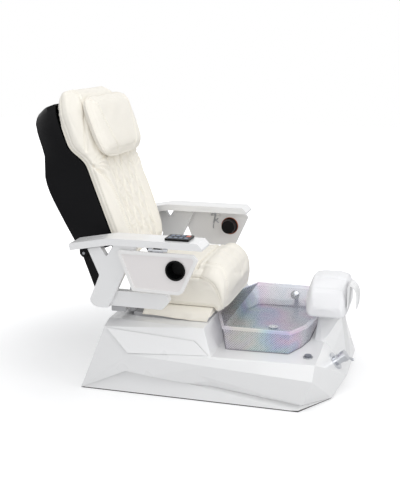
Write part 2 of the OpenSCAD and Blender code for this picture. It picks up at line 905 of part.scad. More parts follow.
function tray_outline() = [[tray_front_x, tray_top - 22], [tray_front_x - 21, tray_top],
    [tray_front_x - tray_len, tray_top], [tray_front_x - tray_len + 2, tray_top - 24],
    [tray_front_x - tray_len + 62, tray_top - tray_drop + 4],
    [tray_front_x - 84, tray_top - tray_drop], [tray_front_x - 65, tray_top - tray_drop + 12]];

module tray(side) {
    color(white)
        on_side(side)
            difference() {
                slab(rounded(tray_outline(), 6), tray_outer, tray_t);
                slab(rounded(inset(tray_outline(), tray_border), 5), tray_outer + 1, 5);
                rod_y(cup_d + 2 * run_gap, arm_half - 60, arm_half + 60, cup_x, cup_z);
                translate([hinge_x - hinge_len / 2 + 7, tray_outer - tray_t - 0.1, tray_top - 24])
                    cube([hinge_len - 14, 3.2, 30]);
            }
}

module cup_holder(side) {
    color(black)
        on_side(side)
            translate([cup_x, tray_outer, cup_z])
                rotate([90, 0, 0])
                    rotate_extrude()
                        polygon([[cup_d / 2 - 6, cup_depth], [0, cup_depth], [0, cup_depth - 3],
                            [cup_d / 2 - 9, cup_depth - 3], [cup_d / 2 - 3, -2.5],
                            [cup_d / 2 + 4, -2.5], [cup_d / 2 + 4, -4 + 5 - 1 - seat_gap],
                            [cup_d / 2, -seat_gap]]);
}

// Hinge: a leaf under the armrest, a knuckle at each end and the pin through them.
module tray_hinge(side) {
    color(steel)
        on_side(side) {
            for (x = [hinge_x - hinge_len / 2, hinge_x + hinge_len / 2 - 18])
                translate([x, 0, 0]) {
                    translate([0, hinge_y, hinge_z])
                        rotate([0, 90, 0])
                            cylinder(h = 18, d = 10);
                    translate([0, hinge_y - 10, hinge_z])
                        cube([18, 10, arm_low + 2 - seat_gap - hinge_z]);
                }
            translate([hinge_x - hinge_len / 2, hinge_y, hinge_z])
                rotate([0, 90, 0])
                    cylinder(h = hinge_len, d = 5);
        }
}

// The leaf that turns with the tray: a knuckle, and an angle let into the tray's inner face.
module tray_leaf(side) {
    leaf_l = hinge_len - 37;
    leaf_y = tray_outer - tray_t;
    color(steel)
        on_side(side)
            translate([hinge_x - leaf_l / 2, 0, 0])
                difference() {
                    union() {
                        translate([0, hinge_y, hinge_z])
                            rotate([0, 90, 0])
                                cylinder(h = leaf_l, d = 10);
                        translate([0, leaf_y, tray_top - 22])
                            cube([leaf_l, 2.8, hinge_z - tray_top + 22]);
                        translate([0, leaf_y, tray_top + 1])
                            cube([leaf_l, hinge_y - leaf_y, 4]);
                    }
                    translate([-1, hinge_y, hinge_z])
                        rotate([0, 90, 0])
                            cylinder(h = leaf_l + 2, d = 5 + 2 * run_gap);
                }
}

// ---- armrest keypad ---------------------------------------------------------------

pad_box = [106, 92, 9];
pad_corner = [-58, -arm_half + 25, arm_top_h + seat_gap];
key_pitch_x = 23;
key_pitch_y = 40;

function key_centre(i) = pad_corner + [19 + (i % 4) * key_pitch_x, 26 + floor(i / 4) * key_pitch_y, 0];

module keypad_housing() {
    color(black)
        difference() {
            translate(pad_corner)
                linear_extrude(pad_box[2])
                    polygon(rounded([[0, 0], [pad_box[0], 0], [pad_box[0], pad_box[1]],
                        [0, pad_box[1]]], 6));
            for (i = [0 : 7])
                translate(key_centre(i) + [-key_l / 2 - run_gap, -key_w / 2 - run_gap, 3])
                    cube([key_l + 2 * run_gap, key_w + 2 * run_gap, 20]);
        }
}

module key(i) {
    color(i == 7 ? "#c8452c" : "#3a4350")
        translate(key_centre(i) + [-key_l / 2, -key_w / 2, 3 + key_travel + 0.3])
            cube([key_l, key_w, pad_box[2] - 3]);
}

// ---- back -------------------------------------------------------------------------

back_x = -300;
back_z = cushion_z + 149;

// Local axes of the back: X out of the pad, Z up along the back.
module in_back() {
    translate([back_x, 0, back_z])
        rotate([0, -back_angle, 0])
            children();
}
// The point of the chair's side plane that is t out and s up along the back.
function back_point(t, s) = [back_x + t * cos(back_angle) - s * sin(back_angle),
    back_z + t * sin(back_angle) + s * cos(back_angle)];

pad_low = 48;
pad_high = pad_low + back_pad_len;
pad_edge_t = -19;
pad_inner_t = pad_edge_t + 4;

// Half width and edge depth of the pad at k = 0 (seat) to 1 (head).
function pad_half(k) = back_pad_w / 2 * (0.97 + 0.03 * sin(k * 180))
    * (1 + 0.08 * ease((k - 0.54) / 0.16) - 0.16 * ease((k - 0.84) / 0.16));
function pad_back(k) = pad_edge_t - 44 * ease((k - 0.56) / 0.14);
function pad_inner(k) = mix(pad_inner_t, pad_back(k) + 4, ease((k - 0.8) / 0.1));
function pad_front(k) = 52 - 12 * ease((k - 0.88) / 0.12);

// Section of the pad: bolsters at the sides, a quilted well between them, a recess behind.
function pad_ring(k, shrink) = let (w = pad_half(k) * shrink, b = pad_back(k), f = pad_front(k),
    z = pad_low + back_pad_len * k, mid = (b + f) / 2, inner = pad_inner(k))
    concat([[inner, -w + 36, z], [b, -w + 30, z], [b, -w + 18, z],
        [mix(b, mid, 0.5), -w + 3, z], [mid, -w, z]],
        [for (j = [-9 : 9])
            let (q = j / 9, bolster = 1 - pow(abs(q), 9),
                 well = 14 * (1 - ease((abs(q) - 0.55) / 0.2)) * ease((0.8 - k) * 5),
                 pleat = 4 * pow(abs(cos(q * 810)), 10) * (abs(q) < 0.6 ? 1 : 0) * ease((0.72 - k) * 8))
            [mix(mid, f - well - pleat, pow(bolster, 0.5)), q * w, z]],
        [[mid, w, z], [mix(b, mid, 0.5), w - 3, z], [b, w - 18, z], [b, w - 30, z],
         [inner, w - 36, z]]);

module back_pad() {
    steps = 30;
    color(cream)
        in_back()
            loft([for (i = [0 : steps])
                let (k = i / steps, end = pow(abs(2 * k - 1), 14))
                [for (p = pad_ring(k, 1 - 0.1 * end))
                    [mix(p[0], (pad_back(k) + pad_front(k)) / 2, end * 0.6), p[1], p[2]]]]);
}

shell_low = 120;
shell_high = pad_high - 48;
shell_depth_low = shell_depth + 8;

// The pad and the shell are curved in flats that don't quite match, so they keep this apart.
facet_gap = 3.2;

// Half width and front edge of the shell where it meets the pad.
function shell_half(z) = pad_half((z - pad_low) / back_pad_len) - 11;
function shell_edge(z) = pad_back((z - pad_low) / back_pad_len) - facet_gap;

// A value between knots [place, value], on a smooth curve through them.
function between(p, k) = let (n = len(p) - 1, at = max([for (j = [0 : n - 1]) p[j][0] <= k ? j : 0]),
    t = (k - p[at][0]) / (p[at + 1][0] - p[at][0]),
    before = p[max(at - 1, 0)], after = p[min(at + 2, n)],
    rise = (p[at + 1][1] - before[1]) / (p[at + 1][0] - before[0]) * (p[at + 1][0] - p[at][0]),
    rise2 = (after[1] - p[at][1]) / (after[0] - p[at][0]) * (p[at + 1][0] - p[at][0]))
    p[at][1] * (2 * t * t * t - 3 * t * t + 1) + rise * (t * t * t - 2 * t * t + t)
    + p[at + 1][1] * (3 * t * t - 2 * t * t * t) + rise2 * (t * t * t - t * t);

// The shell's rear face: how deep it is, and how wide, at heights above its lower edge.
shell_len = shell_high - shell_low;
shell_depths = [[0, shell_depth_low], [90, shell_depth_low + 6], [230, shell_depth_low + 18],
    [320, shell_depth_low + 25], [390, shell_depth_low + 19], [480, shell_depth_low - 13],
    [560, shell_depth - 5], [shell_len - 50, shell_depth - 8], [shell_len - 16, shell_depth - 28],
    [shell_len, shell_depth - 56]];
shell_widths = [[0, 178], [90, 196], [230, 214], [380, 220], [480, 216], [560, 206],
    [shell_len - 40, 190], [shell_len, 166]];
shell_heights = [0, 45, 90, 160, 230, 275, 320, 355, 390, 435, 480, 520, 560,
    shell_len - 90, shell_len - 50, shell_len - 30, shell_len - 14, shell_len - 5, shell_len];
shell_stations = [for (h = shell_heights)
    [shell_low + h, between(shell_depths, h), between(shell_widths, h)]];

function shell_ring(s, z, front, wall) = let (f = shell_edge(s[0]) + front, w = shell_half(s[0]) - wall,
    r = wall - s[1], v = s[2] - wall)
    [for (p = [[f, -w], [f - front - 40, -w - 1], [mix(shell_edge(s[0]), r, 0.62), -mix(w, v, 0.3)],
        [r + 14, -v - 16], [r, -v + 26], [r, v - 26], [r + 14, v + 16],
        [mix(shell_edge(s[0]), r, 0.62), mix(w, v, 0.3)], [f - front - 40, w + 1], [f, w]])
        [p[0], p[1], z]];

module back_shell() {
    last = len(shell_stations) - 1;
    color(black)
        in_back()
            difference() {
                loft([for (s = shell_stations) shell_ring(s, s[0], 0, 0)]);
                // Hollow, open towards the pad.
                loft([for (i = [0 : last])
                    let (s = shell_stations[i], lift = i == 0 ? shell_wall : i == last ? -shell_wall : 0)
                    shell_ring(s, s[0] + lift, 60, shell_wall)]);
                // Way out at the bottom for the frame's side plates.
                translate([-100, -frame_rail_y - 30, shell_low - 1])
                    cube([120, 2 * frame_rail_y + 60, shell_wall + 2]);
            }
}

// The frame: a ladder behind the pad, with side plates down to the recline axis.
massage_rail_x = -78;
massage_rail_y = 90;
massage_rail_d = 12;
frame_rail_y = 165;
frame_rail_w = 28;
frame_low = shell_low + 20;
frame_len = 540;
axis_t = -12;
axis_s = -64;
recline = back_point(axis_t, axis_s);
recline_x = recline[0];
recline_z = recline[1];
recline_pin_d = 16;
plate_t = 12;
plate_y = frame_rail_y + plate_t / 2;

module back_frame() {
    color(black)
        difference() {
            in_back() {
                for (y = [-frame_rail_y, frame_rail_y])
                    translate([massage_rail_x - 14, y - frame_rail_w / 2, frame_low])
                        cube([28, frame_rail_w, frame_len]);
                for (z = [frame_low, frame_low + frame_len - 28])
                    translate([massage_rail_x - 14, -frame_rail_y, z])
                        cube([28, 2 * frame_rail_y, 28]);
                // Stand-offs that the pad's board is screwed to.
                for (y = [-frame_rail_y, frame_rail_y], z = [frame_low + 160, frame_low + 440])
                    translate([massage_rail_x, y - frame_rail_w / 2, z])
                        cube([pad_inner_t - seat_gap - massage_rail_x, frame_rail_w, 40]);
                for (side = [-1, 1])
                    on_side(side)
                        slab(rounded([[axis_t - 20, axis_s - 18], [axis_t + 20, axis_s - 18],
                            [axis_t + 14, axis_s + 30], [-30, pad_low - 30], [-30, frame_low + 70],
                            [massage_rail_x, frame_low + 70], [massage_rail_x, frame_low]], 4),
                            plate_y, plate_t);
            }
            rod_y(recline_pin_d + 2 * run_gap, -400, 400, recline_x, recline_z);
            in_back()
                for (y = [-massage_rail_y, massage_rail_y])
                    translate([massage_rail_x, y, frame_low - 1])
                        cylinder(h = frame_len + 2, d = massage_rail_d + 2 * run_gap);
        }
}

module back_pivot_pins() {
    color(steel)
        for (side = [-1, 1])
            on_side(side) {
                rod_y(recline_pin_d, plate_y - plate_t - 6, plate_y + 18, recline_x, recline_z);
                slab(rounded([[recline_x - 30, frame_top + seat_gap],
                    [recline_x + 22, frame_top + seat_gap], [recline_x + 16, recline_z + 16],
                    [recline_x - 16, recline_z + 16]], 5), plate_y + 0.6 + 12, 12);
            }
}

pillow_z = pad_high - 62 - pillow_h;
pillow_back = 52 + seat_gap;
pillow_t = 56;

module pillow() {
    steps = 16;
    m = 28;
    color(cream)
        in_back()
            translate([pillow_back + pillow_t / 2, 0, pillow_z])
                loft([for (i = [0 : steps])
                    let (k = 2 * i / steps - 1, swell = pow(1 - pow(abs(k), 6), 1 / 2.6),
                         w = pillow_w / 2 * (0.9 + 0.1 * swell) * (1 - 0.12 * ease((-k - 0.1) * 0.8)))
                    [for (j = [0 : m - 1])
                        let (a = -j * 360 / m, c = cos(a), s = sin(a),
                             x = sign(c) * pow(abs(c), 0.5), y = sign(s) * pow(abs(s), 0.35))
                        [x * pillow_t / 2 * max(0.12, swell), y * w * max(0.6, pow(swell, 0.3)),
                         (k + 1) / 2 * pillow_h]]]);
}

// ---- massage drive in the back -------------------------------------------------------

massage_rest_z = shell_low + 70;
carriage_l = 90;
roller_d = 36;
roller_t = 18;
roller_x = massage_rail_x + 38;
roller_shaft_d = 8;

module massage_rails() {
    color(steel)
        in_back()
            for (y = [-massage_rail_y, massage_rail_y])
                translate([massage_rail_x, y, frame_low - 4])
                    cylinder(h = frame_len + 8, d = massage_rail_d);
}

module roller_carriage() {
    color("#4a4e55")
        in_back()
            difference() {
                union() {
                    translate([massage_rail_x - 18, -massage_rail_y - 16, massage_rest_z])
                        cube([34, 2 * massage_rail_y + 32, carriage_l]);
                    translate([massage_rail_x - 62, -46, massage_rest_z + 16])
                        cube([46, 92, 60]);
                    for (z = [20, 70], y = [-62, -36, 30, 56])
                        translate([massage_rail_x + 15, y, massage_rest_z + z - 8])
                            cube([30, 6, 16]);
                }
                for (y = [-massage_rail_y, massage_rail_y])
                    translate([massage_rail_x, y, massage_rest_z - 1])
                        cylinder(h = carriage_l + 2, d = massage_rail_d + 2 * run_gap);
                for (z = [20, 70])
                    translate([roller_x, -100, massage_rest_z + z])
                        rotate([-90, 0, 0])
                            cylinder(h = 200, d = roller_shaft_d + 2 * run_gap);
            }
}

// A pair of rollers on its own short shaft.
module rollers(z) {
    color("#c8b89a")
        in_back()
            translate([roller_x, 0, massage_rest_z + z])
                rotate([-90, 0, 0]) {
                    translate([0, 0, -64])
                        cylinder(h = 128, d = roller_shaft_d);
                    for (y = [-46, 46])
                        translate([0, 0, y - roller_t / 2])
                            cylinder(h = roller_t, d = roller_d);
                }
}

// ---- which pieces are drawn -------------------------------------------------------

lower_base();
base_shell();
side_panel(-1);  // side_panel_right
side_panel(1);  // side_panel_left
seat_rails();
tub();
tub_drain();
fill_spout();
tap_body();
tap_lever();
button_bezel();
air_button();
bath_pump();
drain_pipe();
supply_pipes();
footrest_post();
footrest_head();
footrest_pad();
footrest_wing();
carriage_frame();
seat_pan();
seat_cushion();
seat_skirt();
strut(-1);  // strut_right
strut(1);  // strut_left
lower_bar(-1);  // lower_bar_right
lower_bar(1);  // lower_bar_left
upright(-1);  // upright_right
upright(1);  // upright_left
back_pivot_pins();
back_shell();
back_frame();
back_pad();
pillow();
massage_rails();
roller_carriage();
rollers(70);  // upper_rollers
rollers(20);  // lower_rollers
armrest(-1);  // armrest_right
armrest(1);  // armrest_left
arm_pin(-1);  // arm_pin_right
arm_pin(1);  // arm_pin_left
keypad_housing();
tray_hinge(-1);  // tray_hinge_right
tray_hinge(1);  // tray_hinge_left
tray_leaf(-1);  // tray_leaf_right
tray_leaf(1);  // tray_leaf_left
tray(-1);  // tray_right
tray(1);  // tray_left
cup_holder(-1);  // cup_holder_right
cup_holder(1);  // cup_holder_left
key(0);  // key_1
key(1);  // key_2
key(2);  // key_3
key(3);  // key_4
key(4);  // key_5
key(5);  // key_6
key(6);  // key_7
key(7);  // key_8
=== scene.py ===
# %% [markdown]
# # A pedicure spa chair, dressed in Blender
# The construction of the chair comes from a CAD model: a faceted white base with a foot bath,
# a seat on a sliding frame, a reclining back in a black shell, two lifting arms with folding
# trays, and a footrest on a post. This lesson loads that model as a fixed frame and gives each
# part its finish: rounded edges for the moulded parts, sewn covers for the soft ones, and a
# material for each surface. Everything is in metres and stays where the frame says.

# %% Load the frame
import json
import math
from contextlib import contextmanager
import bmesh
import bpy
import numpy as np
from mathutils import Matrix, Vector
from mathutils.bvhtree import BVHTree


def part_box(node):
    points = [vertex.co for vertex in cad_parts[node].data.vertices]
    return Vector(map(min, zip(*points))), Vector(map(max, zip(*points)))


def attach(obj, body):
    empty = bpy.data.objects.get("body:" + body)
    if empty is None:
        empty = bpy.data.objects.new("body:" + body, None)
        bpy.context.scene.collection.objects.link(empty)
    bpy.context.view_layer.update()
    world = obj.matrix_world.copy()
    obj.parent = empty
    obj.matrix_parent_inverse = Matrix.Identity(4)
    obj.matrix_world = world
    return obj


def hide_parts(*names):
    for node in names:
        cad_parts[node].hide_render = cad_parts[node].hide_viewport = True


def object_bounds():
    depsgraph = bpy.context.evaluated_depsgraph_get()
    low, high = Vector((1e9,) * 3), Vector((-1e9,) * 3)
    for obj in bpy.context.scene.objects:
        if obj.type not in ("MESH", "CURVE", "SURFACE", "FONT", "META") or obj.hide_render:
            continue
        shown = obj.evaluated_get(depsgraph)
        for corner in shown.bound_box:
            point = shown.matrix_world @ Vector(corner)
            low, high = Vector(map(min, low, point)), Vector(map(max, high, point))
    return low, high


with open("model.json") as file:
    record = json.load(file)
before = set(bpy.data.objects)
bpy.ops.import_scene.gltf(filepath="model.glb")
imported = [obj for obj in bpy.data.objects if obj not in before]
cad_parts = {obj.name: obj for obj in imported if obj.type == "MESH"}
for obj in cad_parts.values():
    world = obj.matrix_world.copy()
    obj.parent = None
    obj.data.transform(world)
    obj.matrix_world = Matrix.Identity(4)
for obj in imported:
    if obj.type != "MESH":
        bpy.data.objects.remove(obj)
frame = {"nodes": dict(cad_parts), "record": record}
cad_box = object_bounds()
scene = bpy.context.scene
body_of_node = {n: b for b, ns in frame["record"]["behaviour"]["bodies"].items() for n in ns}

# %% [markdown]
# ## Helpers
# An object is linked to the scene as soon as it is made. A shader is a graph of nodes: one
# helper adds a node and sets or links its inputs, and the rest make the sums, mixes and groups
# that come up again and again.

# %% Objects and nodes
def add_object(name, data):
    obj = bpy.data.objects.new(name, data)
    scene.collection.objects.link(obj)
    return obj


def fill_in(tree, node, values):
    """Give inputs, by label or number, a value or a link from another node's output."""
    for label, value in values.items():
        if isinstance(value, bpy.types.NodeSocket):
            tree.links.new(value, node.inputs[label])
        else:
            node.inputs[label].default_value = value
    return node


def add_node(tree, kind, values=None, **settings):
    node = tree.nodes.new("ShaderNode" + kind)
    for label, value in settings.items():
        setattr(node, label, value)
    return fill_in(tree, node, values or {})


def math_node(tree, operation, *values):
    return add_node(tree, "Math", dict(enumerate(values)), operation=operation).outputs[0]


def mix_colours(tree, factor, a, b, blend="MIX"):
    node = add_node(tree, "Mix", {0: factor, 6: a, 7: b}, data_type="RGBA", blend_type=blend)
    return node.outputs[2]


def mix_shaders(tree, factor, a, b):
    return add_node(tree, "MixShader", {0: factor, 1: a, 2: b}).outputs[0]


def rest_point(tree):
    return add_node(tree, "TexCoord").outputs["Object"]


def new_group(name, inputs, outputs):
    """A node group, the values that come into it, and the node that takes its results."""
    group = bpy.data.node_groups.new(name, "ShaderNodeTree")
    for label, kind, value in inputs:
        socket = group.interface.new_socket(label, in_out="INPUT", socket_type=kind)
        socket.default_value = value
    for label, kind in outputs:
        group.interface.new_socket(label, in_out="OUTPUT", socket_type=kind)
    return group, group.nodes.new("NodeGroupInput").outputs, group.nodes.new("NodeGroupOutput")


def new_material(name):
    mat = bpy.data.materials.new(name)
    mat.use_nodes = True
    return mat, mat.node_tree


print("helpers ready")

# %% [markdown]
# ## Camera
# A product picture of a long chair is taken from well back with a long lens, so that the near
# arm doesn't swell. A camera can be aimed with a constraint, but fixed numbers are easier to
# repeat, so its place and its turn are written down.

# %% Camera
camera_data = bpy.data.cameras.new("studio_camera")
camera_data.lens = 61.4
camera_data.clip_end = 60
camera = add_object("studio_camera", camera_data)
camera.location = (1.047, -3.750, 1.500)
camera.rotation_euler = (math.radians(76.3), 0, math.radians(16))
scene.camera = camera
print("camera at", tuple(camera.location))

# %% [markdown]
# ## Light and floor
# White furniture shows its facets only when each side gets a different amount of light. The
# world gives most of it evenly, and three large soft lamps add a little: one overhead, one at
# the front and one beside the camera. The background is white for the camera, for mirrors and
# for clear parts, through Light Path, so no extra light falls on the chair to make it so.

# %% Lamps
def soft_lamp(name, at, aim, size, power):
    data = bpy.data.lights.new(name, "AREA")
    data.size = size
    data.energy = power
    lamp = add_object(name, data)
    lamp.location = at
    lamp.rotation_euler = (Vector(aim) - Vector(at)).to_track_quat("-Z", "Y").to_euler()


scene.view_settings.view_transform = "Standard"
soft_lamp("overhead_lamp", (0.5, -0.8, 4.2), (0.1, 0, 0.4), 2.6, 36)
soft_lamp("front_lamp", (4.1, -1.2, 2.3), (0, 0, 0.6), 2.2, 40)
soft_lamp("camera_side_lamp", (0.7, -4.6, 1.7), (0, 0, 0.6), 2.2, 29)

# %% World
world = bpy.data.worlds.new("studio_world")
scene.world = world
world.use_nodes = True
sky = world.node_tree
sky.nodes.clear()
room = add_node(sky, "Background", {"Color": (0.97, 0.98, 1.0, 1), "Strength": 0.66})
backdrop = add_node(sky, "Background", {"Color": (1, 1, 1, 1), "Strength": 1.0})
ray = add_node(sky, "LightPath").outputs
seen = math_node(sky, "MAXIMUM", ray["Is Camera Ray"], ray["Is Transmission Ray"])
seen = math_node(sky, "MAXIMUM", seen, ray["Is Glossy Ray"])
add_node(sky, "OutputWorld",
         {"Surface": mix_shaders(sky, seen, room.outputs[0], backdrop.outputs[0])})
print("world strength:", room.inputs["Strength"].default_value)

# %% Floor
def floor_finish():
    mat, tree = new_material("pale_floor")
    tree.nodes.clear()
    plain = add_node(tree, "BsdfDiffuse", {"Color": (0.72, 0.72, 0.72, 1)}).outputs[0]
    # Near the object the floor is lit by the lamps, so its shadow shows; further out the
    # lamps fade and the glow takes over.
    place = add_node(tree, "NewGeometry").outputs["Position"]
    reach = add_node(tree, "VectorMath", {0: place}, operation="LENGTH").outputs["Value"]
    glow = add_node(tree, "MapRange", {"Value": reach, "From Min": 0.7, "From Max": 2.4,
                                       "To Min": 0.36, "To Max": 1.0},
                    interpolation_type="SMOOTHSTEP").outputs["Result"]
    lift = add_node(tree, "Emission", {"Color": (1, 1, 1, 1), "Strength": glow}).outputs[0]
    both = add_node(tree, "AddShader", {0: plain, 1: lift}).outputs[0]
    camera_ray = add_node(tree, "LightPath").outputs["Is Camera Ray"]
    add_node(tree, "OutputMaterial", {"Surface": mix_shaders(tree, camera_ray, plain, both)})
    return mat


floor_reach = 12
floor_mesh = bpy.data.meshes.new("studio_floor")
floor_mesh.from_pydata([(x * floor_reach, y * floor_reach, 0)
                        for x, y in ((-1, -1), (1, -1), (1, 1), (-1, 1))], [], [(0, 1, 2, 3)])
floor = add_object("studio_floor", floor_mesh)
floor.location = (0, 0, cad_box[0][2] - 0.0005)
floor_mesh.materials.append(floor_finish())
print("floor at z", round(floor.location.z, 4))

# %% [markdown]
# ## Finishes
# A finish is built from small effects: a grain that raises the surface, a mottle that varies
# the colour a little, and a grey veil that darkens it close to the floor. Each effect is a node
# group, made once and placed in every material that needs it with its own values. The shader
# itself stays in the material, so the groups only give colours, masks and heights.

# %% Mottle: a slow drift of colour and gloss
COLOUR, VALUE = "NodeSocketColor", "NodeSocketFloat"
mottle, given, result = new_group(
    "colour_mottle",
    [("Colour", COLOUR, (0.8, 0.8, 0.8, 1)), ("Shade", COLOUR, (0.7, 0.7, 0.7, 1)),
     ("Amount", VALUE, 0.3), ("Scale", VALUE, 6.0), ("Roughness", VALUE, 0.4),
     ("Roughness Drift", VALUE, 0.08)],
    [("Colour", COLOUR), ("Roughness", VALUE)])
cloud = add_node(mottle, "TexNoise", {"Detail": 3, "Vector": rest_point(mottle),
                                      "Scale": given["Scale"]}).outputs["Fac"]
part = math_node(mottle, "MULTIPLY", cloud, given["Amount"])
drift = math_node(mottle, "MULTIPLY", math_node(mottle, "SUBTRACT", cloud, 0.5),
                  given["Roughness Drift"])
fill_in(mottle, result, {
    "Colour": mix_colours(mottle, part, given["Colour"], given["Shade"]),
    "Roughness": math_node(mottle, "ADD", given["Roughness"], drift)})
print("group:", mottle.name)

# %% Hide grain: pebbles with fine folds between them
hide, given, result = new_group(
    "hide_grain", [("Pebbles", VALUE, 620.0), ("Depth", VALUE, 0.0005)], [("Height", VALUE)])
spot = rest_point(hide)
cells = add_node(hide, "TexVoronoi", {"Vector": spot, "Scale": given["Pebbles"]},
                 feature="SMOOTH_F1").outputs["Distance"]
folds = add_node(hide, "TexNoise", {"Vector": spot, "Scale": 95, "Detail": 5,
                                    "Distortion": 0.6}).outputs["Fac"]
total = math_node(hide, "ADD", math_node(hide, "SUBTRACT", 1.0, cells),
                  math_node(hide, "MULTIPLY", folds, 1.4))
fill_in(hide, result, {"Height": math_node(hide, "MULTIPLY", total, given["Depth"])})
print("group:", hide.name)

# %% Mould grain: the fine pitting of moulded plastic and gelcoat
mould, given, result = new_group(
    "mould_grain", [("Scale", VALUE, 300.0), ("Depth", VALUE, 0.0002)], [("Height", VALUE)])
pits = add_node(mould, "TexNoise", {"Detail": 2, "Vector": rest_point(mould),
                                    "Scale": given["Scale"]}).outputs["Fac"]
fill_in(mould, result, {"Height": math_node(mould, "MULTIPLY", pits, given["Depth"])})
print("group:", mould.name)

# %% A grey veil, in patches, that darkens a surface close to the floor
low_veil, given, result = new_group(
    "grey_near_floor",
    [("Colour", COLOUR, (0.8, 0.8, 0.8, 1)), ("Veil Colour", COLOUR, (0.5, 0.49, 0.47, 1)),
     ("Reach", VALUE, 0.05), ("Amount", VALUE, 0.25)],
    [("Colour", COLOUR)])
spot = rest_point(low_veil)
height = add_node(low_veil, "SeparateXYZ", {0: spot}).outputs[2]
low = math_node(low_veil, "SUBTRACT", 1.0, math_node(low_veil, "DIVIDE", height, given["Reach"]))
patches = add_node(low_veil, "TexNoise", {"Scale": 24, "Detail": 6, "Vector": spot}).outputs["Fac"]
veil = math_node(low_veil, "MULTIPLY", math_node(
    low_veil, "MULTIPLY", math_node(low_veil, "MAXIMUM", low, 0.0), patches), given["Amount"])
fill_in(low_veil, result, {"Colour": mix_colours(low_veil, veil, given["Colour"], given["Veil Colour"])})
print("group:", low_veil.name)

# %% [markdown]
# ## The materials
# The base, arms and trays are white gelcoat over fibreglass: a hard, slightly wavy gloss. The
# covers are cream hide with a pebble grain. The shell behind the back is black moulded
# plastic. Each material is a Principled shader with a bump from one of the grains. Values
# that don't change over the surface are set on the shader's own sockets.

# %% A helper for materials
def linear(r, g, b):
    """An 8-bit colour as Blender's linear colour, fully opaque."""
    return (*((c / 255 / 12.92) if c <= 10 else (((c / 255 + 0.055) / 1.055) ** 2.4)
              for c in (r, g, b)), 1)


def add_bump(tree, height, strength, distance):
    bump = add_node(tree, "Bump", {"Strength": strength, "Distance": distance, "Height": height})
    fill_in(tree, tree.nodes["Principled BSDF"], {"Normal": bump.outputs["Normal"]})


def finish(name, colour, shade, amount, scale, rough, grain=None, drift=0.06,
           metallic=0.0, coat=0.0, coat_rough=0.05, specular=0.5, sheen=0.0):
    """`amount` of `shade` is mottled into `colour`, in clouds whose number grows with `scale`."""
    mat, tree = new_material(name)
    tone = add_node(tree, "Group", {
        "Colour": linear(*colour), "Shade": linear(*shade), "Amount": amount, "Scale": scale,
        "Roughness": rough, "Roughness Drift": drift}, node_tree=mottle).outputs
    fill_in(tree, tree.nodes["Principled BSDF"], {
        "Base Color": tone["Colour"], "Roughness": tone["Roughness"], "Metallic": metallic,
        "Coat Weight": coat, "Coat Roughness": coat_rough, "Specular IOR Level": specular,
        "Sheen Weight": sheen})
    if grain:
        group, settings, distance = grain
        node = add_node(tree, "Group", settings, node_tree=group)
        add_bump(tree, node.outputs["Height"], 1.0, distance)
    return mat


print("white 240 is", round(linear(240, 240, 240)[0], 3), "in linear light")

# %% Gelcoat, plastics and covers
def hide_grain(pebbles, distance):
    return hide, {"Pebbles": pebbles, "Depth": 1.0}, distance


gel = (mould, {"Scale": 55.0, "Depth": 0.35}, 0.0006)
pebble = (mould, {"Scale": 900.0, "Depth": 1.0}, 0.00025)
white_gelcoat = finish("white_gelcoat", (240, 240, 240), (231, 231, 230), 0.3, 3.0, 0.28, gel,
                       coat=0.5, coat_rough=0.06)
plinth_gelcoat = finish("plinth_gelcoat", (238, 238, 238), (228, 228, 228), 0.3, 3.0, 0.3, gel,
                        coat=0.4, coat_rough=0.08)
tray_gelcoat = finish("tray_gelcoat", (241, 240, 239), (234, 232, 230), 0.3, 4.0, 0.3, gel,
                      coat=0.4, coat_rough=0.08)
tray_face = finish("tray_face", (236, 232, 231), (229, 225, 223), 0.3, 5.0, 0.42, pebble)
black_moulding = finish("black_moulding", (12, 12, 14), (20, 20, 22), 0.5, 7.0, 0.42, pebble,
                        specular=0.12)
# A darker, rougher copy of the black moulding: painted shade for the shell's faces that turn away
# from the light.
painted_shade_black = finish("painted_shade_black", (4, 4, 5), (9, 9, 10), 0.5, 7.0, 0.5, pebble, specular=0.08)
black_plastic = finish("black_plastic", (9, 9, 10), (20, 20, 21), 0.4, 14.0, 0.35, pebble,
                       specular=0.16)
black_paint = finish("black_paint", (24, 24, 25), (16, 16, 17), 0.5, 12.0, 0.45, pebble,
                     specular=0.2)
cream_hide = finish("cream_hide", (246, 242, 232), (238, 231, 217), 0.45, 4.0, 0.46,
                    hide_grain(620.0, 0.00035), drift=0.1, sheen=0.06)
cream_piping = finish("cream_piping", (244, 240, 230), (230, 222, 207), 0.5, 30.0, 0.42,
                      hide_grain(900.0, 0.0002), sheen=0.06)
cream_thread = finish("cream_thread", (226, 217, 200), (206, 196, 176), 0.6, 200.0, 0.7)
white_hide = finish("white_hide", (242, 242, 243), (234, 234, 236), 0.4, 5.0, 0.4,
                    hide_grain(700.0, 0.00025), coat=0.15)
print("materials so far:", len(bpy.data.materials))

# %% Metals, rubber and keys
brush = (mould, {"Scale": 1400.0, "Depth": 1.0}, 0.00008)
chrome = finish("chrome", (216, 218, 222), (176, 179, 186), 0.35, 30.0, 0.1, brush, drift=0.08,
                metallic=1.0)
bright_steel = finish("bright_steel", (186, 188, 192), (150, 152, 156), 0.5, 40.0, 0.28, brush,
                      metallic=1.0)
copper = finish("copper_rim", (186, 104, 70), (120, 62, 40), 0.6, 60.0, 0.3, brush, metallic=1.0)
rubber = finish("roller_rubber", (44, 44, 46), (28, 28, 29), 0.5, 30.0, 0.75, pebble)
pump_paint = finish("pump_paint", (70, 76, 86), (48, 52, 60), 0.5, 20.0, 0.5, pebble)
pipe_grey = finish("pipe_grey", (172, 174, 178), (150, 152, 156), 0.4, 14.0, 0.45, pebble)
button_grey = finish("button_grey", (116, 118, 128), (82, 84, 94), 0.5, 60.0, 0.35, pebble,
                     coat=0.3)
key_blue = finish("key_blue", (86, 102, 128), (58, 70, 92), 0.5, 90.0, 0.4, pebble, coat=0.3)
key_orange = finish("key_orange", (206, 92, 66), (168, 66, 46), 0.4, 90.0, 0.4, pebble, coat=0.3)
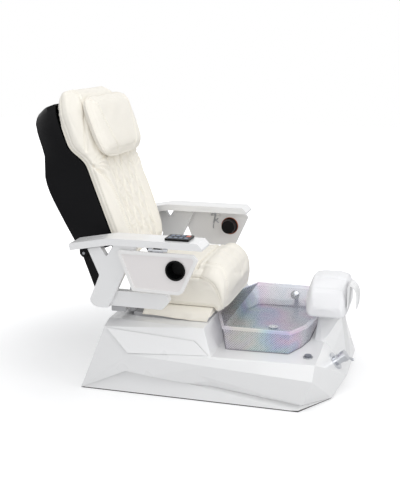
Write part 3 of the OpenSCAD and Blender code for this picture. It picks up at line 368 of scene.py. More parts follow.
frame_grey = finish("frame_grey", (176, 176, 178), (148, 148, 150), 0.5, 14.0, 0.42, pebble)
# A dark strip for the foot of the plinth: painted shade.
painted_shade_strip = finish("painted_shade_strip", (58, 56, 55), (38, 37, 36), 0.5, 50.0, 0.6, pebble)
# Grey for the bead round the bowl: sealant, darkened as painted shade for the gap it sits in.
sealant_and_shade_grey = finish("sealant_and_shade_grey", (128, 126, 134), (98, 96, 104), 0.5, 50.0, 0.5, pebble)


def add_low_veil(mat, reach, amount):
    tree = mat.node_tree
    shader = tree.nodes["Principled BSDF"]
    clean = shader.inputs["Base Color"].links[0].from_socket
    veil = add_node(tree, "Group", {"Reach": reach, "Amount": amount, "Colour": clean},
                    node_tree=low_veil)
    fill_in(tree, shader, {"Base Color": veil.outputs["Colour"]})


# The plinth and the base turn a little greyer towards the floor, in patches.
add_low_veil(plinth_gelcoat, 0.05, 0.14)
add_low_veil(white_gelcoat, 0.06, 0.10)
print("materials so far:", len(bpy.data.materials))

# %% [markdown]
# ## The clear bowl
# The foot bath is a clear moulding with a fine diamond pattern and a film that turns lilac,
# blue and gold. A real film needs thin layers that interfere, which costs many samples. Here
# colours drift over the surface by place, through a colour ramp, and the pattern is drawn by
# two sets of slanting lines. Alpha lets the far wall show through the near one.

# %% Diamond hatch with a film of colours
hatch, given, result = new_group(
    "diamond_film",
    [("Pitch", VALUE, 0.011), ("Clear", VALUE, 0.16), ("Inked", VALUE, 0.5)],
    [("Colour", COLOUR), ("Alpha", VALUE), ("Height", VALUE)])


def film_math(operation, *values):
    return math_node(hatch, operation, *values)


def choose_value(switch, off, on):
    return film_math("ADD", film_math("MULTIPLY", off, film_math("SUBTRACT", 1.0, switch)),
                     film_math("MULTIPLY", on, switch))


place = rest_point(hatch)
at_x, at_y, at_z = add_node(hatch, "SeparateXYZ", {0: place}).outputs
facing = add_node(hatch, "NewGeometry").outputs["Normal"]
turn_x, _, turn_z = add_node(hatch, "SeparateXYZ", {0: facing}).outputs
upward = film_math("GREATER_THAN", film_math("ABSOLUTE", turn_z), 0.7)
endwise = film_math("GREATER_THAN", film_math("ABSOLUTE", turn_x), 0.6)
across = choose_value(endwise, at_x, at_y)
along = choose_value(upward, at_z, at_y)
lines = []
for sign in ("ADD", "SUBTRACT"):
    slant = film_math("DIVIDE", film_math(sign, across, along), given["Pitch"])
    wave = film_math("SINE", film_math("MULTIPLY", slant, math.pi))
    lines.append(film_math("ABSOLUTE", wave))
diamond = film_math("MULTIPLY", *lines)
dot = film_math("GREATER_THAN", diamond, 0.42)
# The lip round the bowl has no pattern.
rim_height = 0.2955
rim_band = film_math("GREATER_THAN", at_z, rim_height)
wall_alpha = choose_value(dot, given["Clear"], given["Inked"])
drifting = add_node(hatch, "TexNoise", {"Scale": 7, "Detail": 1.5, "Distortion": 0.8,
                                        "Vector": place}).outputs["Fac"]
# The film runs through its colours along the bowl, further on at the far side, and drifts.
run = film_math("MULTIPLY", film_math("SUBTRACT", at_x, 0.11), 1.35)
run = film_math("ADD", run, film_math("MULTIPLY", at_y, 0.55))
run = film_math("ADD", run, film_math("MULTIPLY", film_math("SUBTRACT", drifting, 0.5), 0.55))
run = film_math("ADD", run, 0.21)
stops = [(0.00, (214, 210, 220)), (0.12, (206, 198, 212)), (0.22, (226, 218, 200)),
         (0.29, (196, 222, 206)), (0.36, (150, 206, 216)), (0.43, (140, 176, 226)),
         (0.50, (178, 160, 222)), (0.55, (222, 168, 214)), (0.63, (206, 198, 210)),
         (0.74, (186, 204, 220)), (0.84, (216, 190, 214)), (1.00, (196, 206, 222))]
film = add_node(hatch, "ValToRGB", {0: run})
ramp = film.color_ramp
while len(ramp.elements) < len(stops):
    ramp.elements.new(0.5)
for element, (at, rgb) in zip(ramp.elements, stops):
    element.position = at
    element.color = linear(*rgb)
tint = film.outputs[0]
darker = mix_colours(hatch, 1.0, tint, (0.50, 0.51, 0.55, 1), "MULTIPLY")
net = mix_colours(hatch, 0.62, tint, (0.93, 0.92, 0.94, 1))
rim = mix_colours(hatch, 0.45, tint, (0.94, 0.91, 0.94, 1))
fill_in(hatch, result, {
    "Colour": mix_colours(hatch, rim_band, mix_colours(hatch, dot, net, darker), rim),
    "Alpha": choose_value(rim_band, wall_alpha, 0.5), "Height": diamond})
print("film colours:", len(ramp.elements))

# %% The bowl's material
film_clear, tree = new_material("film_clear")
skin = add_node(tree, "Group", {"Pitch": 0.011, "Clear": 0.36, "Inked": 0.50},
                node_tree=hatch).outputs
# The film glows faintly in its own colour: painted light, which lifts the walls where they are in
# shade.
fill_in(tree, tree.nodes["Principled BSDF"], {
    "Base Color": skin["Colour"], "Alpha": skin["Alpha"], "Emission Color": skin["Colour"],
    "Emission Strength": 0.07, "Roughness": 0.16, "Coat Weight": 0.6})
add_bump(tree, skin["Height"], 0.6, 0.0008)
print("bowl material ready")

# %% [markdown]
# ## Moulded parts with rounded edges
# No moulded edge is perfectly sharp: a radius of two or three millimetres catches a thin line
# of light and makes a part look solid. A CAD solid has sharp edges, so each moulded part is
# copied, its coplanar triangles are joined into whole faces, and the edges are bevelled. The
# copy takes the place of the CAD node and moves with the same body.

# %% Copy a node with softened edges
@contextmanager
def editing(mesh):
    """Open a mesh for editing, and write it back at the end."""
    work = bmesh.new()
    work.from_mesh(mesh)
    yield work
    work.to_mesh(mesh)
    work.free()


def weld(work, turn_out=False):
    bmesh.ops.remove_doubles(work, verts=work.verts, dist=0.00005)
    if turn_out:
        bmesh.ops.recalc_face_normals(work, faces=work.faces)


def baked(obj):
    graph = bpy.context.evaluated_depsgraph_get()
    mesh = bpy.data.meshes.new_from_object(obj.evaluated_get(graph))
    old = obj.data
    obj.modifiers.clear()
    obj.data = mesh
    bpy.data.meshes.remove(old)
    return obj


def shade(obj, angle=40):
    mesh = obj.data
    mesh.polygons.foreach_set("use_smooth", [True] * len(mesh.polygons))
    with editing(mesh) as work:
        for edge in work.edges:
            edge.smooth = (len(edge.link_faces) == 2
                           and edge.calc_face_angle(0) < math.radians(angle))


def flat_faces(obj):
    """Large faces stay flat, and only the narrow bevel faces turn the light."""
    flat = obj.modifiers.new("flat faces", "WEIGHTED_NORMAL")
    flat.weight = 100
    flat.keep_sharp = True
    return baked(obj)


def second_material(part, material, choose):
    """Give the faces that `choose` picks by centre and normal a material of their own."""
    part.data.materials.append(material)
    picked = 0
    for face in part.data.polygons:
        if choose(face.center, face.normal):
            face.material_index = 1
            picked += 1
    print(part.name, "faces in", material.name + ":", picked)


def rounded_part(node, radius, material, name=None, angle=28, segments=2, smooth=40):
    part = add_object(name or node + "_moulded", frame["nodes"][node].data.copy())
    with editing(part.data) as work:
        weld(work)
        bmesh.ops.dissolve_limit(work, angle_limit=math.radians(0.6), verts=work.verts,
                                 edges=work.edges)
    if radius > 0:
        bevel = part.modifiers.new("edge radius", "BEVEL")
        bevel.width = radius
        bevel.segments = segments
        bevel.limit_method = "ANGLE"
        bevel.angle_limit = math.radians(angle)
        bevel.use_clamp_overlap = True
        bevel.miter_outer = "MITER_ARC"
        baked(part)
    shade(part, smooth)
    if radius > 0:
        flat_faces(part)
    part.data.materials.clear()
    part.data.materials.append(material)
    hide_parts(node)
    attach(part, body_of_node[node])
    return part


print("ready to round parts")

# %% The white mouldings
rounded_part("base_shell", 0.0022, white_gelcoat, angle=9)
lower_base = rounded_part("lower_base", 0.002, plinth_gelcoat, angle=9)
# The lowest four millimetres of the plinth are coloured dark: painted shade for the shadow gap
# along the floor.
shade_strip_height = 0.004
with editing(lower_base.data) as work:
    bmesh.ops.bisect_plane(work, geom=work.verts[:] + work.edges[:] + work.faces[:],
                           plane_co=(0, 0, shade_strip_height), plane_no=(0, 0, 1))
second_material(lower_base, painted_shade_strip, lambda at, out: at.z < shade_strip_height)
lug_top, lug_front = 0.650, -0.40
tray_face_inner, tray_face_outer = 0.4715, 0.4765
for side in ("right", "left"):
    rounded_part("side_panel_" + side, 0.0016, white_gelcoat)
    arm = rounded_part("armrest_" + side, 0.0035, white_gelcoat, angle=12)
    # The lug that the upright swings on is black.
    second_material(arm, black_plastic, lambda at, out: at.z < lug_top and at.x < lug_front)
    rounded_part("strut_" + side, 0.0035, white_gelcoat)
    rounded_part("lower_bar_" + side, 0.003, white_gelcoat)
    tray = rounded_part("tray_" + side, 0.0018, tray_gelcoat)
    # The sunk middle of its outer face has a matt, slightly warmer finish.
    second_material(tray, tray_face, lambda at, out:
                    abs(out.y) > 0.9 and tray_face_inner < abs(at.y) < tray_face_outer)
print("white mouldings rounded")

# %% Black and metal parts
for radius, material, slot, nodes in (
        (0.0012, frame_grey, "black_steel", "carriage_frame"),
        (0.001, frame_grey, "black_steel", "seat_rails"),
        (0.002, black_plastic, "black_plastic", "upright_right upright_left"),
        (0.0015, black_paint, "black_steel", "back_frame"),
        (0.0012, black_plastic, "black_plastic", "keypad_housing"),
        (0.0008, black_plastic, "black_plastic", "cup_holder_right cup_holder_left"),
        (0.0006, chrome, "chrome_fittings",
         "tray_hinge_right tray_hinge_left "
         "tray_leaf_right tray_leaf_left"),
        (0.001, chrome, "chrome_fittings", "tap_body tap_lever"),
        (0.0008, chrome, "chrome_fittings", "fill_spout tub_drain"),
        (0.001, bright_steel, "chrome_fittings", "button_bezel"),
        (0.001, button_grey, "button_grey", "air_button"),
        (0.0008, bright_steel, "bright_steel", "footrest_post"),
        (0.0015, white_gelcoat, "white_shell", "footrest_head"),
        (0.0008, bright_steel, "bright_steel", "back_pivot_pins"),
        (0.0006, bright_steel, "bright_steel", "arm_pin_right arm_pin_left"),
        (0.0008, bright_steel, "bright_steel", "massage_rails"),
        (0.001, black_paint, "black_steel", "roller_carriage"),
        (0.001, rubber, "roller_rubber", "upper_rollers lower_rollers"),
        (0.0012, pump_paint, "pump_paint", "bath_pump"),
        (0.0008, pipe_grey, "pipe_grey", "drain_pipe"),
        (0.0005, pipe_grey, "pipe_grey", "supply_pipes"),
        (0.001, black_paint, "black_steel", "seat_pan")):
    for node in nodes.split():
        rounded_part(node, radius, material)
for i in range(1, 9):
    material, slot = (key_orange, "key_orange") if i == 8 else (key_blue, "key_blue")
    rounded_part(f"key_{i}", 0.0012, material)
print("small parts rounded")

# %% The bowl and the black shell
bowl = rounded_part("tub", 0.0012, film_clear, name="bowl", angle=20, smooth=14)
shell = rounded_part("back_shell", 0.0, black_moulding, name="shell_moulded",
                     smooth=24)
# The back leans by 20 degrees. The faces that look straight out behind it take a darker copy of
# the black, as painted shade for the side turned away from the light; that copy is also rougher.
lean_x, lean_z, straight_back = 0.940, 0.342, -0.72
second_material(shell, painted_shade_black,
                lambda at, out: out.x * lean_x + out.z * lean_z < straight_back)
rounded_part("footrest_wing", 0.001, white_gelcoat, smooth=30)
print("bowl faces:", len(bowl.data.polygons))

# %% [markdown]
# ## Soft covers
# A cushion is foam pulled tight by its cover: it swells between its seams and pulls in along
# them. The CAD solid gives the size. A copy is remeshed into even squares and blown up with
# Cloth pressure for twenty frames, eased, and then held within a few millimetres of the CAD
# solid, so that it keeps its place and stays clear of its neighbours. Seams and folds are
# pressed in afterwards, because the remesh would erase them.

# %% Reading and writing points
def points(obj):
    """The places and the normals of an object's points, as two arrays."""
    read = []
    for label in ("co", "normal"):
        values = np.empty(len(obj.data.vertices) * 3)
        obj.data.vertices.foreach_get(label, values)
        read.append(values.reshape(-1, 3))
    return read


def put_points(obj, co):
    obj.data.vertices.foreach_set("co", co.astype(np.float32).ravel())
    obj.data.update()


def ease(obj, times):
    smooth = obj.modifiers.new("ease", "SMOOTH")
    smooth.factor = 0.5
    smooth.iterations = times
    return baked(obj)


def refine(obj):
    sub = obj.modifiers.new("fine", "SUBSURF")
    sub.levels = sub.render_levels = 1
    return baked(obj)


print("point tools ready")

# %% Inflate a cushion
def solid_guide(node):
    """A search tree of a CAD solid's surface."""
    work = bmesh.new()
    work.from_mesh(frame["nodes"][node].data)
    weld(work, turn_out=True)
    tree = BVHTree.FromBMesh(work)
    work.free()
    return tree


def keep_near(obj, guide, above, below):
    """Hold each point between `above` outside and `below` inside the CAD surface."""
    co, normal = points(obj)
    above = np.broadcast_to(above, len(co))
    for i in range(len(co)):
        p = Vector(co[i])
        spot, face, _, _ = guide.find_nearest(p)
        away = p - spot
        height = math.copysign(away.length, away.dot(face))
        limit = above[i] if height > above[i] else -below if height < -below else None
        if limit is not None and abs(height) > 1e-7:
            co[i] = spot + away * (limit / height)
    put_points(obj, co)


def inflate(obj, pressure, cap):
    """Blow a cover up like cloth, and keep each point within `cap` of its start."""
    start, _ = points(obj)
    frames = 20
    cloth = obj.modifiers.new("cover", "CLOTH")
    for label, value in (("quality", 4), ("mass", 0.25), ("tension_stiffness", 12),
                         ("compression_stiffness", 12), ("shear_stiffness", 4),
                         ("bending_stiffness", 0.6), ("use_pressure", True),
                         ("uniform_pressure_force", pressure)):
        setattr(cloth.settings, label, value)
    cloth.settings.effector_weights.gravity = 0
    cloth.collision_settings.use_collision = False
    cloth.point_cache.frame_start = 1
    cloth.point_cache.frame_end = frames
    for f in range(1, frames + 1):
        scene.frame_set(f)
    baked(obj)
    scene.frame_set(1)
    end, _ = points(obj)
    move = end - start
    length = np.linalg.norm(move, axis=1, keepdims=True)
    put_points(obj, start + move * np.minimum(1, cap / np.maximum(length, 1e-9)))
    print(obj.name, "moved up to", round(float(length.max()) * 1000, 1), "mm, kept to", cap * 1000)


def cover(node, name, out, proud, voxel=0.006, pressure=4.0, cap=0.010, easing=5):
    """A soft cover over a CAD solid. It may stand `proud` on the side that faces `out`."""
    guide = solid_guide(node)
    part = add_object(name, frame["nodes"][node].data.copy())
    with editing(part.data) as work:
        weld(work, turn_out=True)
    remesh = part.modifiers.new("even squares", "REMESH")
    remesh.mode = "VOXEL"
    remesh.voxel_size = voxel
    baked(part)
    ease(part, 3)
    inflate(part, pressure, cap)
    ease(part, easing)
    _, normal = points(part)
    toward = ramp_up(normal @ np.array(out), -0.1, 0.3)
    keep_near(part, guide, 0.0006 + toward * proud, 0.0004)
    ease(part, 1)
    return refine(part)


def dress(piece, node, body, material, angle=80):
    shade(piece, angle)
    piece.data.materials.clear()
    piece.data.materials.append(material)
    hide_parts(node)
    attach(piece, body)
    print(piece.name, "points:", len(piece.data.vertices))


print("soft tools ready")

# %% Press seams into a cover
def line_distance(a, b, line):
    """Distance of points (a, b) to a line of points, in their own plane."""
    best = np.full(a.shape, 9.0)
    for (x0, y0), (x1, y1) in zip(line[:-1], line[1:]):
        dx, dy = x1 - x0, y1 - y0
        t = np.clip(((a - x0) * dx + (b - y0) * dy) / (dx * dx + dy * dy), 0, 1)
        best = np.minimum(best, np.hypot(a - x0 - t * dx, b - y0 - t * dy))
    return best


def curved(line, steps=8):
    """A smooth line through the given points."""
    p = [np.array(q, float) for q in line]
    p = [2 * p[0] - p[1]] + p + [2 * p[-1] - p[-2]]
    out = []
    for i in range(1, len(p) - 2):
        for k in range(steps):
            t = k / steps
            out.append(0.5 * (2 * p[i] + (p[i + 1] - p[i - 1]) * t
                              + (2 * p[i - 1] - 5 * p[i] + 4 * p[i + 1] - p[i + 2]) * t * t
                              + (3 * p[i] - p[i - 1] - 3 * p[i + 1] + p[i + 2]) * t ** 3))
    out.append(p[-2])
    return [tuple(q) for q in out]


def groove(distance, width):
    return np.exp(-(distance / width) ** 2)


def sewn(distance, deep, width, swell, beside, spread):
    """A seam pulls in by `deep`, and the cover swells a little beside it."""
    return swell * groove(distance - beside, spread) - deep * groove(distance, width)


def ramp_up(value, low, high):
    t = np.clip((value - low) / (high - low), 0, 1)
    return t * t * (3 - 2 * t)


print("seam tools ready")

# %% [markdown]
# ## Piping and stitches
# Where two pieces of hide meet at an edge, a cord in a sleeve of hide is sewn between them:
# the piping. Along flat seams a row of short stitches shows on each side. Both follow the
# cover, so their paths are found by casting rays onto it. Piping is a round curve along the
# path; stitches are one mesh of small tapered bars, sunk halfway into the hide.

# %% Paths on a cover
def surface_of(obj):
    return BVHTree.FromObject(obj, bpy.context.evaluated_depsgraph_get())


def cast_path(tree, starts, toward, lift=0.0):
    path = []
    for start, way in zip(starts, toward):
        spot, face, _, _ = tree.ray_cast(Vector(start), Vector(way).normalized())
        if spot is not None:
            if face.dot(Vector(way)) > 0:
                face = -face
            path.append((spot + face * lift, face))
    return path


def cast_along(tree, starts, way, lift=0.0):
    return cast_path(tree, starts, [way] * len(starts), lift)


def even_path(path, step):
    """The same path with points a step apart."""
    out, carry = [path[0]], 0.0
    for (a, na), (b, nb) in zip(path[:-1], path[1:]):
        length = (b - a).length
        at = step - carry
        while at <= length:
            k = at / length
            out.append((a.lerp(b, k), na.lerp(nb, k).normalized()))
            at += step
        carry = (carry + length) % step
    return out


def eased_path(path, times=2, closed=False):
    """Small bumps of the cover don't show in its piping."""
    for _ in range(times):
        spots = [p for p, _ in path]
        n = len(spots)
        for i in range(n):
            if closed or 0 < i < n - 1:
                path[i] = ((spots[i - 1] + spots[i] * 2 + spots[(i + 1) % n]) / 4, path[i][1])
    return path


def piping(name, path, radius, material, body, closed=False):
    curve = bpy.data.curves.new(name, "CURVE")
    curve.dimensions = "3D"
    curve.bevel_depth = radius
    curve.bevel_resolution = 3
    curve.use_fill_caps = not closed
    spline = curve.splines.new("POLY")
    spline.points.add(len(path) - 1)
    spline.use_cyclic_u = closed
    for point, (spot, _) in zip(spline.points, path):
        point.co = (*spot, 1)
    curve.materials.append(material)
    cord = add_object(name, curve)
    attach(cord, body)


def stitches(name, paths, material, body, long=0.0065, gap=0.0035, radius=0.0009):
    verts, faces = [], []
    for path in paths:
        marks = even_path(path, long + gap)
        for (a, na), (b, _) in zip(marks[:-1], marks[1:]):
            run = (b - a).normalized()
            side = run.cross(na).normalized()
            up = side.cross(run)
            at = len(verts)
            for along, size in ((0.0, 0.35), (0.15, 1.0), (0.85, 1.0), (1.0, 0.35)):
                centre = a + run * (along * long) - na * (0.0004 if 0 < along < 1 else 0.0012)
                for q in range(6):
                    turn = q * math.pi / 3
                    verts.append(centre + (side * math.cos(turn) + up * math.sin(turn))
                                 * radius * size)
            for ring in range(3):
                for q in range(6):
                    p0, p1 = at + ring * 6 + q, at + ring * 6 + (q + 1) % 6
                    faces.append((p0, p1, p1 + 6, p0 + 6))
            faces.append(tuple(at + q for q in range(5, -1, -1)))
            faces.append(tuple(at + 18 + q for q in range(6)))
    mesh = bpy.data.meshes.new(name)
    mesh.from_pydata(verts, [], faces)
    mesh.materials.append(material)
    row = add_object(name, mesh)
    shade(row, 50)
    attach(row, body)
    print(name, "stitches:", len(verts) // 24)


print("piping tools ready")

# %% [markdown]
# ## The seat
# The seat is one thick block of foam in a cream cover. A piped seam runs round each side, and
# the front is a separate roll that hangs over the edge, with the seat top gathered into the
# crease behind it. The block is inflated first, and then the lines are pressed in.

# %% Seat cushion
seat_low, seat_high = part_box("seat_cushion")
seat = cover("seat_cushion", "seat_cover", (0.25, 0.0, 0.97), 0.008)
# New foam stands a little higher than its block, most of all along the roll.
co, _ = points(seat)
co[:, 2] += 0.009 * ramp_up(co[:, 2], 0.40, 0.52) * ramp_up(co[:, 0], -0.22, -0.12)
put_points(seat, co)
co, normal = points(seat)
half = seat_high.y - 0.004
x, y, z = co.T
outward = np.sign(y) * normal[:, 1]
side = ramp_up(outward, 0.25, 0.65)
# Line round each side: over the top of the side panel and down behind the roll.
arc = curved([(-0.26, 0.480), (-0.10, 0.488), (0.020, 0.489), (0.060, 0.486), (0.097, 0.469),
              (0.120, 0.438), (0.134, 0.403), (0.143, 0.372), (0.148, 0.350)])
arc_d = line_distance(x, z, arc)
inner = curved([(0.020, 0.520), (0.060, 0.536), (0.104, 0.536), (0.131, 0.521), (0.150, 0.490),
                (0.160, 0.450), (0.164, 0.396)])
inner_d = line_distance(x, z, inner)
depth = -0.0050 * groove(arc_d, 0.0060) * side
depth -= 0.0046 * groove(inner_d, 0.0042) * ramp_up(outward, 0.0, 0.2)
# The side panel is flat and set in a little below its seam.
below_arc = np.interp(x, [p[0] for p in arc], [p[1] for p in arc]) - z
depth -= 0.0035 * ramp_up(below_arc, 0.0, 0.03) * side * (x < 0.14)
# Crease between the seat top and the roll, and the gathers behind it.
crease_x = 0.014 + 0.014 * np.cos(y / half * 1.4)
top = ramp_up(normal[:, 2], 0.2, 0.6)
in_panel = 1 - ramp_up(np.abs(y), half - 0.055, half - 0.035)
ahead = x - crease_x
depth -= 0.0120 * groove(ahead, 0.0062) * top * in_panel
depth += 0.005 * groove(ahead - 0.040, 0.030) * top * in_panel
fan = np.sin(y * 210 + 2.2 * np.sin(y * 47) + 9 * np.abs(ahead))
depth -= 0.0034 * np.maximum(fan, 0) * np.exp(-np.maximum(-ahead, 0) / 0.045) * (ahead < 0.002) \
    * top * in_panel
welt_y = half - 0.050
depth -= 0.006 * groove(np.abs(y) - welt_y, 0.0050) * top * (ahead < 0)
rows = np.abs(np.sin((x + 0.25) / 0.062 * math.pi))
depth -= 0.0030 * groove(rows, 0.22) * top * (ahead < -0.05) * (np.abs(y) < welt_y - 0.01)
# A flat base where it rests on its pan.
depth *= ramp_up(z, seat_low.z + 0.004, seat_low.z + 0.03)
put_points(seat, co + normal * depth[:, None])
dress(seat, "seat_cushion", "seat", cream_hide)

# %% Seat piping and stitches
seat_skin = surface_of(seat)
seat_rows = []
low_line = [(a, 0.3595) for a in np.linspace(-0.25, 0.128, 30)]
welt_line = np.linspace(-0.24, 0.0, 40)
for side_name, sign in (("right", -1), ("left", 1)):
    inward = (0, -sign, 0)
    for name, line, lift, radius in (("seat_piping_", curved(arc, 2), 0.0008, 0.0032),
                                     ("seat_lower_piping_", low_line, 0.0004, 0.0026)):
        path = cast_along(seat_skin, [(a, sign * 0.6, b) for a, b in line], inward, lift)
        piping(name + side_name, eased_path(path), radius, cream_piping, "seat")
    seat_rows.append(cast_along(seat_skin, [(a, sign * 0.6, b + 0.006) for a, b in inner], inward))
    seat_rows.append(cast_along(seat_skin, [(a, sign * (welt_y + 0.008), 0.9)
                                            for a in welt_line], (0, 0, -1)))
roll_front = [(0.30, b, 0.3564) for b in np.linspace(-0.252, 0.252, 60)]
path = cast_along(seat_skin, roll_front, (-1, 0, 0), 0.0008)
piping("roll_piping", eased_path(path, 6), 0.0032, cream_piping, "seat")
stitches("seat_stitches", [r for r in seat_rows if len(r) > 2], cream_thread, "seat")

# %% [markdown]
# ## The flap under the seat
# A flap of hide is sewn under the cushion and hangs over the rails, flaring out on each side.
# It is one thin strip bent round the sides and the front. A grid follows the strip's section,
# small folds lift its lower edge, and Solidify gives it the thickness of hide and backing.

# %% Flap
flap_x = np.concatenate([np.linspace(-0.204, 0.070, 46), [0.080, 0.088, 0.094]])
section = [(0.244, 0.3530), (0.258, 0.3522), (0.274, 0.3480), (0.290, 0.3420), (0.303, 0.3350),
           (0.3135, 0.3270), (0.3170, 0.3200)]
plan = [(x, 0.0, 1.0, 0.0) for x in flap_x]
# At the front corners the edge turns in and rises clear of the rails.
corner = [(0.1000, 0.006, 0.95, 0.0170), (0.1045, 0.020, 0.8, 0.0180),
          (0.1060, 0.040, 0.6, 0.0190)]
top_y = section[0][0]
columns = len(section)
side_rows = []
for at, inward, reach, rise in plan + corner:
    hang = ramp_up(np.array(at), -0.20, 0.06)
    row = []
    for j, (out_y, level) in enumerate(section):
        k = j / (columns - 1)
        low_z = level - 0.0110 * hang * k ** 3 + rise * k ** 2
        fold = 0.0020 * k * k * (1 + math.sin(at * 58 + 1.7 * math.sin(at * 23)))
        row.append((at - 0.004 * k * (1 - reach),
                    top_y + (out_y - top_y) * (0.72 + 0.28 * reach) + fold - inward, low_z))
    side_rows.append(row)
strip = [[(x, -y, z) for x, y, z in row] for row in side_rows]
for b in np.linspace(-0.20, 0.20, 30):
    strip.append([(0.1055, b, 0.3515 - 0.021 * (j / (columns - 1))) for j in range(columns)])
strip += side_rows[::-1]
flap_mesh = bpy.data.meshes.new("seat_flap")
flap_mesh.from_pydata([p for row in strip for p in row], [],
                      [(i + j, i + j + 1, i + columns + j + 1, i + columns + j)
                       for i in range(0, (len(strip) - 1) * columns, columns)
                       for j in range(columns - 1)])
flap = add_object("seat_flap", flap_mesh)
flap_edge = [(Vector(row[-1]), Vector((0, 0, -1))) for row in strip]
thick = flap.modifiers.new("hide", "SOLIDIFY")
thick.thickness = 0.0026
thick.offset = -1
fine = flap.modifiers.new("fine", "SUBSURF")
fine.levels = fine.render_levels = 1
baked(flap)
shade(flap, 60)
flap.data.materials.append(cream_hide)
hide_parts("seat_skirt")
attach(flap, "seat")
piping("flap_piping", flap_edge, 0.0026, cream_piping, "seat")
print("flap points:", len(flap.data.vertices))

# %% [markdown]
# ## The back cushion
# The back follows the sitter's spine: narrow at the waist, with wings at the shoulders and a
# flat head. Two sewn lines part the quilted middle from the plain side bolsters, which are
# gathered where they bend. Its lines are easiest to describe in the plane of the back itself,
# so points are first turned into that plane.

# %% The plane of the back
back_foot = np.array([-0.300, 0.0, 0.5022])
up_back = np.array([-lean_z, 0.0, lean_x])
out_back = np.array([lean_x, 0.0, lean_z])


def in_back_plane(co):
    rel = co - back_foot
    return rel @ up_back, co[:, 1], rel @ out_back      # height, width, depth


def from_back_plane(s, y, t):
    return back_foot + up_back * s + out_back * t + np.array([0.0, y, 0.0])


def rear_edge(s):
    """Depth of the cushion's rear edge, which steps back behind the wings."""
    return -0.019 - 0.044 * ramp_up((s - 0.048) / 0.8, 0.56, 0.70)


print("plane of the back at", back_foot)

# %% Back cushion
cushion = cover("back_pad", "back_cover", tuple(out_back), 0.006, cap=0.009)
co, normal = points(cushion)
s, y, t = in_back_plane(co)
facing = ramp_up(normal @ out_back, 0.1, 0.5)
seam = curved([(0.052, 0.198), (0.15, 0.200), (0.25, 0.204), (0.31, 0.207), (0.37, 0.215),
               (0.41, 0.225), (0.45, 0.240), (0.478, 0.256)])
seam_d = line_distance(s, np.abs(y), seam)
depth = sewn(seam_d, 0.0065, 0.0050, 0.0025, 0.015, 0.010) * facing
panel_y = 0.146
depth -= 0.0042 * groove(np.abs(y) - panel_y, 0.0042) * facing * (s < 0.56)
middle = ramp_up(panel_y - np.abs(y), 0.000, 0.012) * (s < 0.57)
# Quilted ogees: neighbouring rows bulge towards and away from each other.
pitch, length = 0.0415, 0.150
row = y / pitch
sway = 0.34 * np.sin(2 * math.pi * s / length)
gap = np.full(y.shape, 9.0)
for step in (-1, 0, 1):
    k = np.round(row) + step
    gap = np.minimum(gap, np.abs(row - k - sway * np.where(np.mod(k, 2) == 0, 1, -1)) * pitch)
depth += (0.0025 * ramp_up(gap, 0.001, 0.014) - 0.0076 * groove(gap, 0.0038)) * middle * facing
wrinkle = np.sin(s * 210 + 2.5 * np.sin(y * 40) + 1.7 * np.sin(s * 37))
depth += 0.0007 * wrinkle * middle * facing
# Folds that run in from where each bolster bends.
knot = (0.486, 0.262)
for angle, reach, deep in ((-58, 0.10, 0.0045), (-32, 0.15, 0.0060), (-8, 0.13, 0.0050),
                           (16, 0.11, 0.0045), (40, 0.08, 0.0040)):
    end = (knot[0] + reach * math.sin(math.radians(angle)),
           knot[1] - reach * math.cos(math.radians(angle)))
    mid_fold = (0.5 * (knot[0] + end[0]) + 0.006, 0.5 * (knot[1] + end[1]))
    fold_line = curved([knot, mid_fold, end])
    fold_d = line_distance(s, np.abs(y), fold_line)
    along = np.hypot(s - knot[0], np.abs(y) - knot[1]) / reach
    fold = sewn(fold_d, deep, 0.0050, 0.35 * deep, 0.011, 0.007)
    depth += fold * ramp_up(along, 1.05, 0.35) * facing
# Small puckers along the bolsters.
outside = ramp_up(np.abs(y) - panel_y, 0.004, 0.02) * (s < 0.47)
pucker = np.sin(s * 150 + 1.3 * np.sin(s * 43))
pucker *= np.exp(-np.maximum(np.abs(y) - panel_y, 0) / 0.03)
depth -= 0.0016 * np.maximum(pucker, 0) * outside * facing
# The head: a seam inside each wing, and a shallow valley beside the pillow.
head_seam = curved([(0.842, 0.165), (0.800, 0.190), (0.753, 0.212), (0.690, 0.236),
                    (0.620, 0.252), (0.560, 0.262)])
head_d = line_distance(s, np.abs(y), head_seam)
depth += sewn(head_d, 0.0050, 0.0045, 0.0020, 0.014, 0.010) * facing
# Two sewn lines along each edge, beside the shell.
edge_facing = ramp_up(np.abs(normal[:, 1]), 0.30, 0.6)
depth -= 0.0040 * groove(t - rear_edge(s) - 0.030, 0.0040) * edge_facing
depth -= 0.0025 * groove(t - rear_edge(s) - 0.012, 0.0035) * edge_facing
co = co + normal * depth[:, None]
# The top of the head is rounded off.
co -= up_back * (0.009 * ramp_up(s, 0.74, 0.85) + 0.006 * ramp_up(-s, -0.16, -0.06))[:, None]
put_points(cushion, co)
dress(cushion, "back_pad", "back", cream_hide)

# %% Back piping and stitches
back_skin = surface_of(cushion)


def front_path(line, sign):
    starts = [from_back_plane(a, sign * b, 0.4) for a, b in line]
    return cast_along(back_skin, starts, -out_back)


def side_path(ahead_of_edge, sign, low, high, lift=0.0):
    starts = [from_back_plane(a, sign * 0.6, float(rear_edge(a) + ahead_of_edge))
              for a in np.linspace(low, high, 90)]
    return cast_along(back_skin, starts, (0, -sign, 0), lift)


back_rows = []
for side_name, sign in (("right", -1), ("left", 1)):
    edge = side_path(0.006, sign, 0.075, 0.815, 0.0006)
    piping("back_edge_piping_" + side_name, eased_path(edge, 3), 0.0030, cream_piping, "back")
    back_rows.append(side_path(0.034, sign, 0.08, 0.81))
    for line, gap in ((seam, 0.006), (seam, -0.006), (head_seam, 0.006)):
        back_rows.append(front_path([(a, b + gap) for a, b in line], sign))
stitches("back_stitches", [r for r in back_rows if len(r) > 2], cream_thread, "back")

